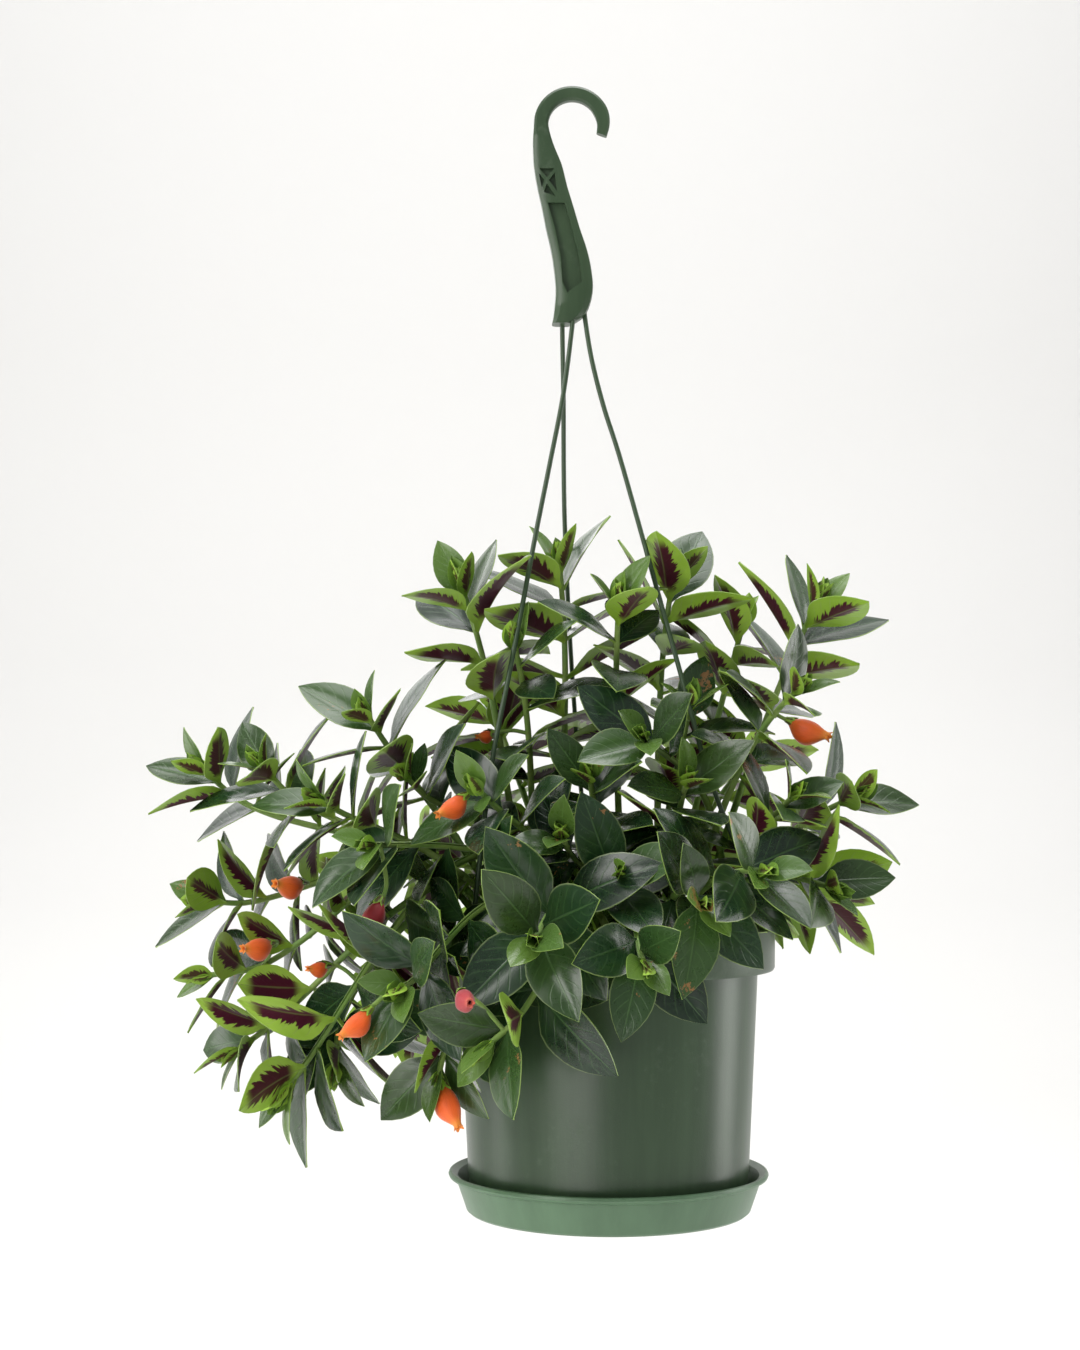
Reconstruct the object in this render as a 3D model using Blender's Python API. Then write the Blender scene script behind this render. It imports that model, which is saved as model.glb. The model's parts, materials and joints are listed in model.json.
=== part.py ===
"""Goldfish plant in a hanging pot: a filled plastic pot with its clip-on saucer, a moulded hanger with
three strands, leafy stems that arch and trail over the rim, and orange pouch-shaped blooms.
Metres, +Z up. The origin is the inside of the hook's crown, where the plant hangs."""

import math
import random

import bpy
from mathutils import Vector
from mathutils.bvhtree import BVHTree

MM = 0.001
GAP = 0.3                  # clearance between separate pieces, mm

# Pot, saucer and filling, mm, z counted from the saucer's underside on the pot's axis
RIM_R = 76.0               # outer radius of the rim band
RIM_TOP = 128.6
RIM_BAND = 20.0            # height of the rim band
RIM_WALL = 1.6
BODY_TOP_R = 69.0          # outer radius of the body just below the ledge
BODY_FOOT_R = 63.0
POT_FOOT = 3.6             # underside of the pot's floor
POT_FLOOR = 2.0
WALL = 1.6
SAUCER_R = 72.5
SAUCER_H = 18.0
SAUCER_FOOT_R = 64.0
SAUCER_WALL = 1.8
SOIL_TOP = 116.0
SOIL_CROWN = 3.0
ROUND = 28                 # sides of the round pieces

# Snap posts of the saucer and holes in the pot's floor
POST_RING_R = 30.0
POST_R = 2.6
POST_HEAD_R = 3.8
POST_ANGLES = (90.0, 210.0, 330.0)
DRAIN_ANGLES = (30.0, 150.0, 270.0)
FLOOR_HOLE_R = 3.1

# Hanger
LUG_R = 72.2               # radius of the holes in the rim's ledge
LUG_HOLE_R = 1.7
LUG_ANGLES = {"left": 215.0, "right": 335.0, "back": 95.0}
STRAND_R = 1.15
FOOT_LEN = 6.4
HOOK_X = -16.0             # centre of the hook's arc
HOOK_Z = 499.0
HOOK_IN_R = 11.0
HOOK_W = 7.0
HOOK_D = 5.6

ORIGIN = Vector((HOOK_X, 0.0, HOOK_Z + HOOK_IN_R))

# Growth
EYE = Vector((-31.0, -1000.0, 190.6))   # where the shoots' places were judged from, mm
ROOT_DEPTH = 20.0
ROOT_HOLE_R = 2.7
STEM_BASE_R = 1.9
STEM_TIP_R = 1.25
LEAF_WIDE = 0.54           # width over length
LEAF_THICK = 1.3
SEED = 1804

# name: tip seen from the front (x, z), depth y, tip direction, rise of the arch, pairs, leaf length
STEMS = {
    "top_centre": ((-22, 291), 8, (-0.1, -0.35, 1.0), 60, 7, 46),
    "top_left": ((-66, 280), -6, (-0.35, -0.45, 1.0), 60, 6, 46),
    "top_right": ((30, 285), 10, (0.15, -0.4, 1.0), 60, 7, 47),
    "far_right": ((95, 272), 4, (0.45, -0.35, 1.0), 55, 5, 46),
    "right_mid": ((86, 234), -36, (0.5, -0.7, 0.5), 50, 5, 38),
    "left_upper": ((-109, 222), -26, (-0.4, -0.6, 0.7), 50, 7, 41),
    "left_shoot": ((-157, 200), -14, (-0.4, -0.6, 0.7), 60, 7, 38),
    "far_left": ((-184, 198), 6, (-0.6, -0.45, 0.8), 70, 7, 40),
    "left_mid": ((-130, 184), -46, (-0.5, -0.75, 0.35), 50, 7, 40),
    "left_out": ((-182, 139), 4, (-0.85, -0.5, 0.25), 75, 8, 38),
    "left_low": ((-184, 108), -16, (-0.85, -0.5, 0.0), 80, 8, 36),
    "left_drop": ((-168, 72), -32, (-0.8, -0.4, -0.4), 85, 8, 38),
    "lowest_left": ((-143, 58), -56, (-0.6, -0.4, -0.7), 90, 8, 46),
    "low_inner": ((-124, 66), -36, (0.2, -0.5, -0.8), 85, 8, 40),
    "rosette_left": ((-93, 100), -92, (-0.3, -0.9, 0.1), 60, 6, 42),
    "rosette_mid": ((-33, 123), -106, (0.0, -1.0, 0.1), 45, 5, 42),
    "rosette_top": ((5, 151), -74, (0.0, -0.9, 0.4), 35, 4, 42),
    "front_shoot": ((-8, 194), -46, (-0.1, -0.7, 0.7), 35, 6, 38),
    "front_left": ((-58, 188), -60, (-0.35, -0.8, 0.45), 40, 6, 40),
    "high_right": ((38, 228), -16, (0.1, -0.6, 0.8), 50, 6, 40),
    "front_right": ((36, 192), -46, (0.15, -0.85, 0.4), 35, 6, 40),
    "rosette_right": ((70, 153), -80, (0.2, -0.9, 0.0), 40, 5, 40),
    "right_low": ((100, 146), -36, (0.4, -0.8, -0.1), 50, 5, 40),
    "right_out": ((112, 186), -10, (0.6, -0.65, 0.3), 50, 5, 40),
    "drop_front": ((-77, 62), -74, (-0.1, -0.4, -0.9), 75, 7, 38),
    "left_front": ((-105, 162), -76, (-0.4, -0.85, 0.2), 45, 7, 42),
    "over_rim": ((16, 112), -102, (0.2, -0.9, -0.3), 45, 4, 38),
    "over_rim_left": ((-57, 80), -96, (-0.4, -0.7, -0.6), 58, 4, 42),
    "inner_top": ((-42, 254), -20, (-0.2, -0.65, 0.75), 50, 6, 44),
    "inner_right": ((62, 264), 26, (0.3, 0.1, 1.0), 50, 6, 45),
    "back_left_low": ((-112, 146), 76, (-0.7, 0.6, 0.1), 65, 6, 40),
    "back_left": ((-52, 226), 58, (-0.3, 0.6, 0.9), 50, 6, 40),
    "back_right": ((64, 204), 68, (0.4, 0.7, 0.5), 50, 6, 40),
    "back_right_low": ((100, 142), 66, (0.7, 0.6, -0.1), 60, 6, 40),
    "back_drop": ((42, 116), 108, (0.2, 0.9, -0.4), 60, 6, 40),
    "back_mid": ((-32, 112), 112, (-0.1, 0.9, -0.4), 60, 6, 40),
    "back_left_drop": ((-92, 88), 98, (-0.4, 0.7, -0.6), 75, 6, 40),
    "front_low_right": ((43, 138), -88, (0.1, -0.95, 0.1), 45, 5, 40),
    "front_fill": ((-20, 168), -66, (-0.15, -0.8, 0.5), 35, 6, 40),
    "right_fill": ((84, 186), -48, (0.35, -0.75, 0.45), 45, 6, 40),
    "crown_centre": ((5, 274), -14, (0.05, -0.5, 0.9), 50, 6, 44),
    "face_mid": ((14, 210), -56, (0.05, -0.85, 0.5), 40, 6, 41),
    "left_deep": ((-90, 196), -40, (-0.45, -0.75, 0.45), 50, 6, 40),
}

# name: place seen from the front (x, z), the stem it grows on, direction of the pouch, length
BLOOMS = {
    "right_high": ((92, 218), "far_right", (0.75, -0.5, -0.35), 22),
    "left_high": ((-144, 147), "left_out", (-0.8, -0.5, -0.1), 20),
    "left_low": ((-159, 118), "left_low", (-0.75, -0.5, -0.4), 19),
    "drop_low": ((-72, 47), "drop_front", (0.45, -0.5, -0.75), 22),
    "left_inner": ((-71, 183), "front_left", (-0.5, -0.55, -0.6), 18),
    "left_front": ((-115, 84), "rosette_left", (-0.55, -0.55, -0.6), 18),
    "left_bud": ((-132, 109), "low_inner", (-0.4, -0.8, -0.3), 13),
    "top_bud": ((-56, 215), "inner_top", (-0.4, -0.8, -0.2), 11),
    "left_old": ((-108, 133), "left_front", (-0.6, -0.5, -0.5), 18),
    "mid_old": ((-64, 100), "over_rim_left", (0.6, -0.6, -0.5), 17),
}


def spot(p):
    """A place in mm above the saucer's underside, in the part's own metres."""
    return (Vector(p) - ORIGIN) * MM


def seen(front, depth):
    """The place that lies at this depth behind the pot's axis and looks from the front like (x, z)."""
    point = Vector((front[0], 0.0, front[1]))
    return EYE + (point - EYE) * ((depth - EYE.y) / -EYE.y)


def frame_of(direction, up):
    """Two unit vectors square to the direction, the second as near as can be to up."""
    side = up.cross(direction)
    if side.length < 1e-6:
        side = Vector((0.3, 1.0, 0.2)).cross(direction)
    side.normalize()
    return side, direction.cross(side).normalized()


def tube(path, radii, sides, squash=1.0):
    """A closed tube through the path, its rings carried along without twist."""
    verts, faces = [], []
    up = Vector((0.0, 1.0, 0.15)).normalized()
    for i, point in enumerate(path):
        a, b = path[max(i - 1, 0)], path[min(i + 1, len(path) - 1)]
        side, up = frame_of((b - a).normalized(), up)
        for k in range(sides):
            turn = 2.0 * math.pi * (k + 0.5) / sides
            verts.append(point + (side * math.cos(turn) + up * math.sin(turn) * squash) * radii[i])
    for i in range(len(path) - 1):
        for k in range(sides):
            n = (k + 1) % sides
            faces.append((i * sides + k, i * sides + n, (i + 1) * sides + n, (i + 1) * sides + k))
    faces.append(tuple(reversed(range(sides))))
    faces.append(tuple(range((len(path) - 1) * sides, len(path) * sides)))
    return verts, faces


def bezier(a, b, c, d, t):
    s = 1.0 - t
    return a * s**3 + b * (3 * s * s * t) + c * (3 * s * t * t) + d * t**3


def blade(leaf, grow=0.0, start=0.0):
    """A thick leaf folded along its midrib: a small root section inside the stem, then the widest and
    the tapering section, then the point. The upper and the lower face share the outline. A small or
    hidden leaf has a flat upper face and so three corners a section in place of four, and one behind or
    deep among the others tapers straight to its point."""
    along, normal, size = leaf["dir"], leaf["normal"], leaf["size"]
    side = normal.cross(along).normalized()
    verts, faces = [], []
    plain = leaf["plain"]
    rows = BLADE[:2] if leaf["brief"] else BLADE
    for t, wide, thick in rows:
        if t < start:
            t, wide = start, 0.45
        mid = leaf["base"] + along * (size * t + 0.2) - normal * (size * leaf["droop"] * t * t)
        half = size * LEAF_WIDE * 0.5 * wide + grow
        lift = half * leaf["fold"] if t > 0.05 else 0.2
        body = thick * LEAF_THICK * 0.5 + grow
        verts.append(mid - side * half + normal * lift)
        if not plain:
            verts.append(mid + normal * body)
        verts.append(mid + side * half + normal * lift)
        verts.append(mid - normal * body)
    tip = leaf["base"] + along * (size + grow) - normal * (size * leaf["droop"])
    verts.append(tip)
    rings, m = len(rows), 3 if plain else 4
    faces.append(tuple(range(m)))
    for i in range(rings - 1):
        for k in range(m):
            n = (k + 1) % m
            faces.append((i * m + n, i * m + k, (i + 1) * m + k, (i + 1) * m + n))
    last = (rings - 1) * m
    for k in range(m):
        faces.append((last + (k + 1) % m, last + k, rings * m))
    return verts, faces


BLADE = ((0.0, 0.065, 0.8), (0.46, 1.0, 1.0), (0.80, 0.64, 0.7))
POUCH = ((0.0, 0.20), (0.16, 0.48), (0.38, 0.94), (0.62, 0.98), (0.84, 0.56), (1.0, 0.30))


def pouch(base, along, length, grow=0.0):
    """The goldfish-shaped bloom: a narrow neck, a belly that hangs below its axis, a pinched mouth."""
    side, up = frame_of(along, Vector((0.0, 0.0, 1.0)))
    belly = length * 0.27
    verts, faces, sides = [], [], 8
    for t, wide in POUCH:
        middle = base + along * (length * t) - up * (belly * 0.38 * math.sin(math.pi * min(t / 0.93, 1.0)))
        for k in range(sides):
            turn = 2.0 * math.pi * (k + 0.5) / sides
            reach = belly * wide + grow
            verts.append(middle + (side * math.cos(turn) * 0.86 + up * math.sin(turn)) * reach)
    for i in range(len(POUCH) - 1):
        for k in range(sides):
            n = (k + 1) % sides
            faces.append((i * sides + k, i * sides + n, (i + 1) * sides + n, (i + 1) * sides + k))
    faces.append(tuple(reversed(range(sides))))
    faces.append(tuple(range((len(POUCH) - 1) * sides, len(POUCH) * sides)))
    return verts, faces


class Crowd:
    """What is already placed, by owner, and whether a new shape would touch another owner's."""

    def __init__(self):
        self.shapes = []

    def add(self, owner, shape):
        self.shapes.append((owner, shape))

    def tree(self, but=()):
        verts, faces = [], []
        for owner, (points, sides) in self.shapes:
            if owner in but:
                continue
            start = len(verts)
            verts.extend(points)
            faces.extend(tuple(start + i for i in side) for side in sides)
        return BVHTree.FromPolygons(verts, faces)


def touches(tree, shape):
    return bool(BVHTree.FromPolygons(shape[0], shape[1]).overlap(tree))


def stem_line(root, tip, heading, rise, rng, loose):
    """The stem's middle line, from the bottom of its root hole to the tip."""
    out = Vector((tip.x - root.x, tip.y - root.y, 0.0))
    shove = Vector((rng.uniform(-1, 1), rng.uniform(-1, 1), rng.uniform(-0.3, 1.0))) * loose
    shift = Vector((rng.uniform(-1, 1), rng.uniform(-1, 1), rng.uniform(-1, 1))) * loose
    knee = root + out * 0.30 + Vector((0.0, 0.0, rise)) + shove
    reach = (tip - root).length * 0.33
    neck = tip - heading * reach + shift
    end = tip + shift * 0.25
    collar = root + Vector((0.0, 0.0, SOIL_CROWN + 2.0))
    line = [root - Vector((0.0, 0.0, ROOT_DEPTH)), collar]
    for i in range(1, 9):
        line.append(bezier(collar, knee, neck, end, i / 8.0))
    return line


def root_places(count, rng):
    """Spread over the filling like seeds in a head, clear of each other and of the wall."""
    places = []
    for i in range(count):
        r = 57.0 * math.sqrt((i + 0.6) / count)
        turn = i * 2.39996
        x, y = r * math.cos(turn) + rng.uniform(-1, 1), r * math.sin(turn) + rng.uniform(-1, 1)
        places.append(Vector((x, y, SOIL_TOP)))
    return places


def along_line(line, back):
    """The place and the heading at this length back from the tip, and how far from the root in 0..1."""
    total = sum((b - a).length for a, b in zip(line, line[1:]))
    left = back
    for a, b in zip(reversed(line[:-1]), reversed(line[1:])):
        step = (b - a).length
        if left <= step:
            return b + (a - b) * (left / step), (b - a).normalized(), 1.0 - back / total
        left -= step
    return line[0], Vector((0.0, 0.0, 1.0)), 0.0


def sight(place):
    """A slim wedge from a bloom toward the front, which leaves keep out of so that the bloom shows."""
    toward = (EYE - place).normalized()
    line = [place + toward * 10.0, place + toward * 70.0]
    return tube(line, [6.5, 6.5], 6)


def grow_plant(fixed, soil):
    """Every stem with its leaves, and every bloom with its stalk, in mm. fixed holds the shapes of the
    made pieces, which everything stays clear of; the stems alone may enter the soil."""
    rng = random.Random(SEED)
    crowd = Crowd()
    for shape in fixed:
        crowd.add("made", shape)
    free = root_places(len(STEMS) + 2, rng)
    plant = {}
    for name, (front, depth, heading, rise, pairs, size) in STEMS.items():
        tip = seen(front, depth)
        heading = Vector(heading).normalized()
        flat = Vector((tip.x, tip.y, 0.0))
        wish = flat.normalized() * min(54.0, 18.0 + flat.length * 0.20)
        root = min(free, key=lambda p: (Vector((p.x, p.y, 0.0)) - wish).length)
        free.remove(root)
        tree = crowd.tree()
        for attempt in range(90):
            line = stem_line(root, tip, heading, rise + attempt * 0.5, rng, 1.0 + attempt * 0.35)
            radii = [STEM_BASE_R - (STEM_BASE_R - STEM_TIP_R) * i / (len(line) - 1) for i in range(len(line))]
            if not touches(tree, tube(line[1:], [r + 0.9 for r in radii[1:]], 4)):
                break
        else:
            print("no clear way for stem", name)
            continue
        crowd.add(name, tube(line, radii, 4))
        plant[name] = {"root": root, "line": line, "radii": radii, "leaves": [], "stalks": [],
                       "pairs": pairs, "size": size}
    crowd.add("made", soil)
    blooms = {}
    for name, (front, owner, heading, length) in BLOOMS.items():
        wish = Vector(heading).normalized()
        line = plant[owner]["line"]
        samples = [along_line(line, back)[0] for back in range(4, 110, 3)]
        near = min(samples, key=lambda p: (seen(front, p.y) - p).length)
        tree, tree_own = crowd.tree(but=(owner,)), crowd.tree()
        for attempt in range(60):
            nudge = Vector((rng.uniform(-1, 1), rng.uniform(-1, 1), rng.uniform(-1, 1))) * attempt * 0.25
            middle = seen(front, near.y - 9.0 - (attempt % 6) * 2.0) + nudge
            heading = (wish * 0.9 + (middle - near).normalized() * 0.6).normalized()
            neck = middle - heading * length * 0.5
            body = pouch(neck, heading, length, 0.7)
            end = neck - heading * GAP
            far = (end - near).length
            bow = near + (end - near) * 0.3 + Vector((0.0, 0.0, far * 0.15))
            stop = end - heading * 1.6
            ahead = stop - heading * far * 0.25
            stalk = [bezier(near, bow, ahead, stop, t) for t in (0.0, 0.4, 0.75)] + [stop, end]
            clear = far > 8.0 and heading.dot(end - near) > far * 0.3
            clear = clear and not touches(tree_own, body) and not touches(tree, tube(stalk, [1.5] * 5, 4))
            if clear:
                break
        else:
            print("no room for bloom", name)
            continue
        plant[owner]["stalks"].append(stalk)
        blooms[name] = {"base": neck, "dir": heading, "length": length, "owner": owner, "near": near}
        crowd.add("bloom_" + name, pouch(neck, heading, length))
        crowd.add("bloom_" + name, sight(neck))
        crowd.add(owner, tube(stalk, [1.0] * 5, 4))
    for name, stem in plant.items():
        tree = crowd.tree(but=(name,))
        place_leaves(name, stem, tree, crowd, rng)
    return plant, blooms


ANGLES = (22.0, 42.0, 57.0, 67.0, 74.0, 79.0, 82.0, 80.0)
SIZES = (0.58, 0.94, 1.10, 1.12, 1.08, 1.0, 0.95, 0.9)
STEPS = (1.5, 5.5, 8.5, 12.5, 15.0, 16.0, 17.0, 17.0)
TRIES = ((0, 0, 1.0), (12, 0, 1.0), (-12, 0, 1.0), (0, 14, 1.0), (0, -14, 1.0), (20, 10, 0.95),
         (-20, -10, 0.95), (10, -26, 0.9), (-10, 26, 0.9), (26, -16, 0.85), (-26, 16, 0.85), (0, 34, 0.8), (0, -34, 0.8),
         (34, 0, 0.75), (-34, 0, 0.75), (16, 40, 0.7), (-16, -40, 0.7), (40, -20, 0.62), (0, 0, 0.55))


def place_leaves(name, stem, tree, crowd, rng):
    """Opposite pairs, each pair square to the one before, larger and wider open away from the tip. A leaf
    that would touch another piece is bent, then made smaller, and only then left off."""
    back, spin = 0.0, rng.uniform(0.0, 180.0)
    own = Crowd()
    for pair in range(stem["pairs"]):
        back += STEPS[pair] * (stem["size"] / 40.0)
        place, heading, part = along_line(stem["line"], back)
        if place.z < SOIL_TOP + 10.0 and math.hypot(place.x, place.y) < RIM_R:
            break
        side, up = frame_of(heading, Vector((0.0, 0.0, 1.0)))
        for half in (0, 1):
            place, heading, part = along_line(stem["line"], back + half * 0.9)
            turn0 = spin + 90.0 * pair + 180.0 * half + rng.uniform(-12, 12)
            size0 = stem["size"] * SIZES[pair] * rng.uniform(0.88, 1.1)
            open0 = ANGLES[pair] + rng.uniform(-6, 6)
            droop, fold = rng.uniform(0.08, 0.26), rng.uniform(0.14, 0.34)
            for bend, swing, scale in TRIES:
                turn, opened = math.radians(turn0 + swing), math.radians(min(max(open0 + bend, 12.0), 105.0))
                away = side * math.cos(turn) + up * math.sin(turn)
                along = (heading * math.cos(opened) + away * math.sin(opened)).normalized()
                outward = Vector((place.x, place.y, 0.0)).normalized()
                face = heading * 0.85 + Vector((0.0, 0.0, 0.5)) + outward * 0.45
                normal = face - along * face.dot(along)
                if normal.length < 0.15:
                    normal = heading - along * heading.dot(along)
                leaf = {"base": place, "dir": along, "normal": normal.normalized(), "size": size0 * scale,
                        "droop": droop, "fold": fold, "pair": pair,
                        "plain": not (name.startswith("rosette") and pair in (1, 2, 3)),
                        "brief": name.startswith("back") or pair > 3}
                if touches(tree, blade(leaf, 0.55)):
                    continue
                if own.shapes and touches(own.tree(), blade(leaf, 0.1, 0.16)):
                    continue
                stem["leaves"].append(leaf)
                crowd.add(name, blade(leaf))
                own.add(name, blade(leaf, 0.0, 0.16))
                break


def lathe(profile, sides=ROUND, centre=(0.0, 0.0)):
    """A closed ring or solid turned from a closed profile of (r, z); a point at r 0 is one vertex."""
    verts, faces, rows = [], [], []
    for r, z in profile:
        if r < 1e-6:
            rows.append([len(verts)] * sides)
            verts.append(Vector((centre[0], centre[1], z)))
            continue
        rows.append(list(range(len(verts), len(verts) + sides)))
        for k in range(sides):
            turn = 2.0 * math.pi * k / sides
            verts.append(Vector((centre[0] + r * math.cos(turn), centre[1] + r * math.sin(turn), z)))
    for i in range(len(rows)):
        lower, upper = rows[i], rows[(i + 1) % len(rows)]
        for k in range(sides):
            n = (k + 1) % sides
            ring = [lower[k], lower[n], upper[n], upper[k]]
            corners = []
            for v in ring:
                if v not in corners:
                    corners.append(v)
            if len(corners) > 2:
                faces.append(tuple(corners))
    return verts, faces


def rod(centre, z0, z1, radius, sides=8):
    return lathe(((0.0, z0), (radius, z0), (radius, z1), (0.0, z1)), sides, centre)


def body_radius(z):
    """Outer radius of the pot's body at this height."""
    share = (z - POT_FOOT) / (RIM_TOP - RIM_WALL - POT_FOOT)
    return BODY_FOOT_R + (BODY_TOP_R - BODY_FOOT_R) * share


def pot_profile():
    low, top = POT_FOOT, RIM_TOP
    inner = WALL
    return (
        (0.0, low + 0.8), (BODY_FOOT_R - 6.0, low + 0.8),
        (BODY_FOOT_R - 4.5, low), (BODY_FOOT_R - 1.6, low), (BODY_FOOT_R, low + 1.8),
        (body_radius(60.0), 60.0), (body_radius(top - 6.0), top - 6.0), (BODY_TOP_R, top - RIM_WALL),
        (RIM_R - RIM_WALL - 0.6, top - RIM_WALL),
        (RIM_R - RIM_WALL - 0.3, top - RIM_BAND), (RIM_R - 0.9, top - RIM_BAND),
        (RIM_R - 0.2, top - RIM_BAND + 1.2), (RIM_R, top - 1.6), (RIM_R - 1.0, top - 0.2), (RIM_R - 1.8, top),
        (BODY_TOP_R - inner + 0.8, top), (BODY_TOP_R - inner, top - 0.9),
        (body_radius(60.0) - inner, 60.0), (BODY_FOOT_R - inner, low + POT_FLOOR + 2.4),
        (BODY_FOOT_R - inner - 2.4, low + POT_FLOOR + 0.8),
        (0.0, low + POT_FLOOR + 0.8),
    )


def saucer_profile():
    w = SAUCER_WALL
    return (
        (0.0, 0.9), (SAUCER_FOOT_R - 6.0, 0.9), (SAUCER_FOOT_R - 5.0, 0.0), (SAUCER_FOOT_R - 0.8, 0.0),
        (SAUCER_FOOT_R + 0.4, 1.0), (SAUCER_R - 3.4, SAUCER_H - 3.6), (SAUCER_R - 0.4, SAUCER_H - 2.4),
        (SAUCER_R, SAUCER_H - 1.4), (SAUCER_R - 0.5, SAUCER_H - 0.3), (SAUCER_R - 1.4, SAUCER_H),
        (SAUCER_R - 4.2, SAUCER_H - 1.6), (SAUCER_R - 5.2, SAUCER_H - 3.4),
        (SAUCER_FOOT_R - 1.2, 0.9 + w + 1.0), (SAUCER_FOOT_R - 2.8, 0.9 + w), (0.0, 0.9 + w),
    )


def soil_profile():
    base = POT_FOOT + POT_FLOOR + 0.8 + GAP
    inner = WALL + 0.4
    return (
        (0.0, base), (BODY_FOOT_R - inner - 2.8, base), (BODY_FOOT_R - inner - 0.2, base + 2.6),
        (body_radius(60.0) - inner, 60.0), (body_radius(SOIL_TOP) - inner - 0.2, SOIL_TOP - 3.0),
        (body_radius(SOIL_TOP) - inner - 2.6, SOIL_TOP - 0.8), (42.0, SOIL_TOP + SOIL_CROWN * 0.6),
        (20.0, SOIL_TOP + SOIL_CROWN), (0.0, SOIL_TOP + SOIL_CROWN + 0.4),
    )


# Outline of the handle: centre x, z, width, depth from the foot up, then round the hook's arc
HANDLE = (
    ((-21.0, 0, 405.0), 9.0, 10.0), ((-17.2, 0, 410.0), 15.0, 11.0), ((-15.2, 0, 420.0), 17.4, 10.5),
    ((-15.8, 0, 430.0), 17.6, 9.5), ((-17.6, 0, 440.0), 17.0, 8.6), ((-20.4, 0, 450.0), 16.0, 8.0),
    ((-22.8, 0, 460.0), 15.0, 7.6), ((-25.4, 0, 470.0), 14.2, 7.2), ((-27.4, 0, 480.0), 13.2, 6.6),
    ((-29.6, 0, 490.0), 9.6, 6.0),
)


def handle_sections():
    """The webbed handle up into the hook: middle, width, depth and the way across, for each section."""
    sections = [(Vector(p), w, d, Vector((1.0, 0.0, 0.0))) for p, w, d in HANDLE]
    middle = HOOK_IN_R + HOOK_W * 0.5
    for i in range(11):
        turn = math.radians(184.0 - 20.4 * i)
        out = Vector((math.cos(turn), 0.0, math.sin(turn)))
        taper = 1.0 - 0.28 * max(0, i - 8) / 2.0
        place = Vector((HOOK_X, 0.0, HOOK_Z)) + out * middle
        sections.append((place, HOOK_W * taper, HOOK_D * taper, -out))
    return sections


def handle_shape():
    sections = handle_sections()
    verts, faces = [], []
    for place, wide, deep, across in sections:
        for a, b in ((-1, -0.6), (-0.8, -1), (0.8, -1), (1, -0.6), (1, 0.6), (0.8, 1), (-0.8, 1), (-1, 0.6)):
            verts.append(place + across * (a * wide * 0.5) + Vector((0.0, b * deep * 0.5, 0.0)))
    for i in range(len(sections) - 1):
        for k in range(8):
            n = (k + 1) % 8
            faces.append((i * 8 + k, i * 8 + n, (i + 1) * 8 + n, (i + 1) * 8 + k))
    faces.append(tuple(reversed(range(8))))
    faces.append(tuple(range((len(sections) - 1) * 8, len(sections) * 8)))
    return verts, faces


def prism(outline, y0, y1):
    """A closed prism from an outline of (x, z)."""
    n = len(outline)
    turned = sum(outline[i - 1][0] * outline[i][1] - outline[i][0] * outline[i - 1][1] for i in range(n))
    if turned < 0:
        outline = tuple(reversed(outline))
    verts = [Vector((x, y0, z)) for x, z in outline] + [Vector((x, y1, z)) for x, z in outline]
    faces = [tuple(range(n)), tuple(reversed(range(n, 2 * n)))]
    for k in range(n):
        m = (k + 1) % n
        faces.append((m, k, n + k, n + m))
    return verts, faces


# Pockets between the handle's crossed ribs, and the long hollow below them, as (x, z)
POCKETS = (
    ((-31.2, 477.6), (-24.4, 477.6), (-27.8, 473.4)),
    ((-31.6, 475.6), (-29.0, 472.0), (-30.2, 468.6)),
    ((-24.2, 475.6), (-26.8, 472.0), (-23.2, 467.0)),
    ((-27.8, 470.4), (-29.2, 466.4), (-24.0, 464.6)),
    ((-27.4, 461.4), (-19.6, 461.4), (-16.4, 450.0), (-13.4, 438.0), (-11.6, 424.0), (-18.4, 419.0),
     (-20.6, 424.0), (-21.4, 436.0), (-24.2, 450.0)),
)

# Middle lines of the strands from the socket in the handle down to above the ledge hole
STRANDS = {
    "left": ((-15.4, -3.4, 413.0), (-15.9, -3.6, 405.5), (-20.2, -6.0, 372.0), (-26.6, -12.5, 338.0),
             (-33.2, -18.6, 304.0), (-39.0, -24.5, 272.0), (-45.0, -30.5, 240.0), (-52.5, -37.5, 200.0)),
    "back": ((-20.4, 3.2, 411.0), (-20.6, 3.6, 403.5), (-20.3, 7.5, 388.0), (-20.0, 12.0, 372.0),
             (-19.4, 27.0, 320.0), (-16.5, 43.0, 260.0), (-12.0, 57.5, 200.0)),
    "right": ((-10.6, 0.4, 415.0), (-10.0, 0.0, 407.0), (-7.0, -1.6, 388.0), (-1.6, -3.4, 366.0),
              (5.4, -6.5, 343.0), (16.0, -10.5, 304.0), (32.0, -17.5, 244.0), (46.0, -23.5, 192.0)),
}


def strand_line(name):
    turn = math.radians(LUG_ANGLES[name])
    foot = Vector((LUG_R * math.cos(turn), LUG_R * math.sin(turn), 0.0))
    line = [Vector(p) for p in STRANDS[name]]
    for z in (RIM_TOP + 14.0, RIM_TOP + 3.0, RIM_TOP - RIM_WALL - 3.4):
        line.append(foot + Vector((0.0, 0.0, z)))
    return line


def strand_shape(name):
    line = strand_line(name)
    radii = [STRAND_R] * len(line)
    return tube(line, radii, 5)


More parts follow.
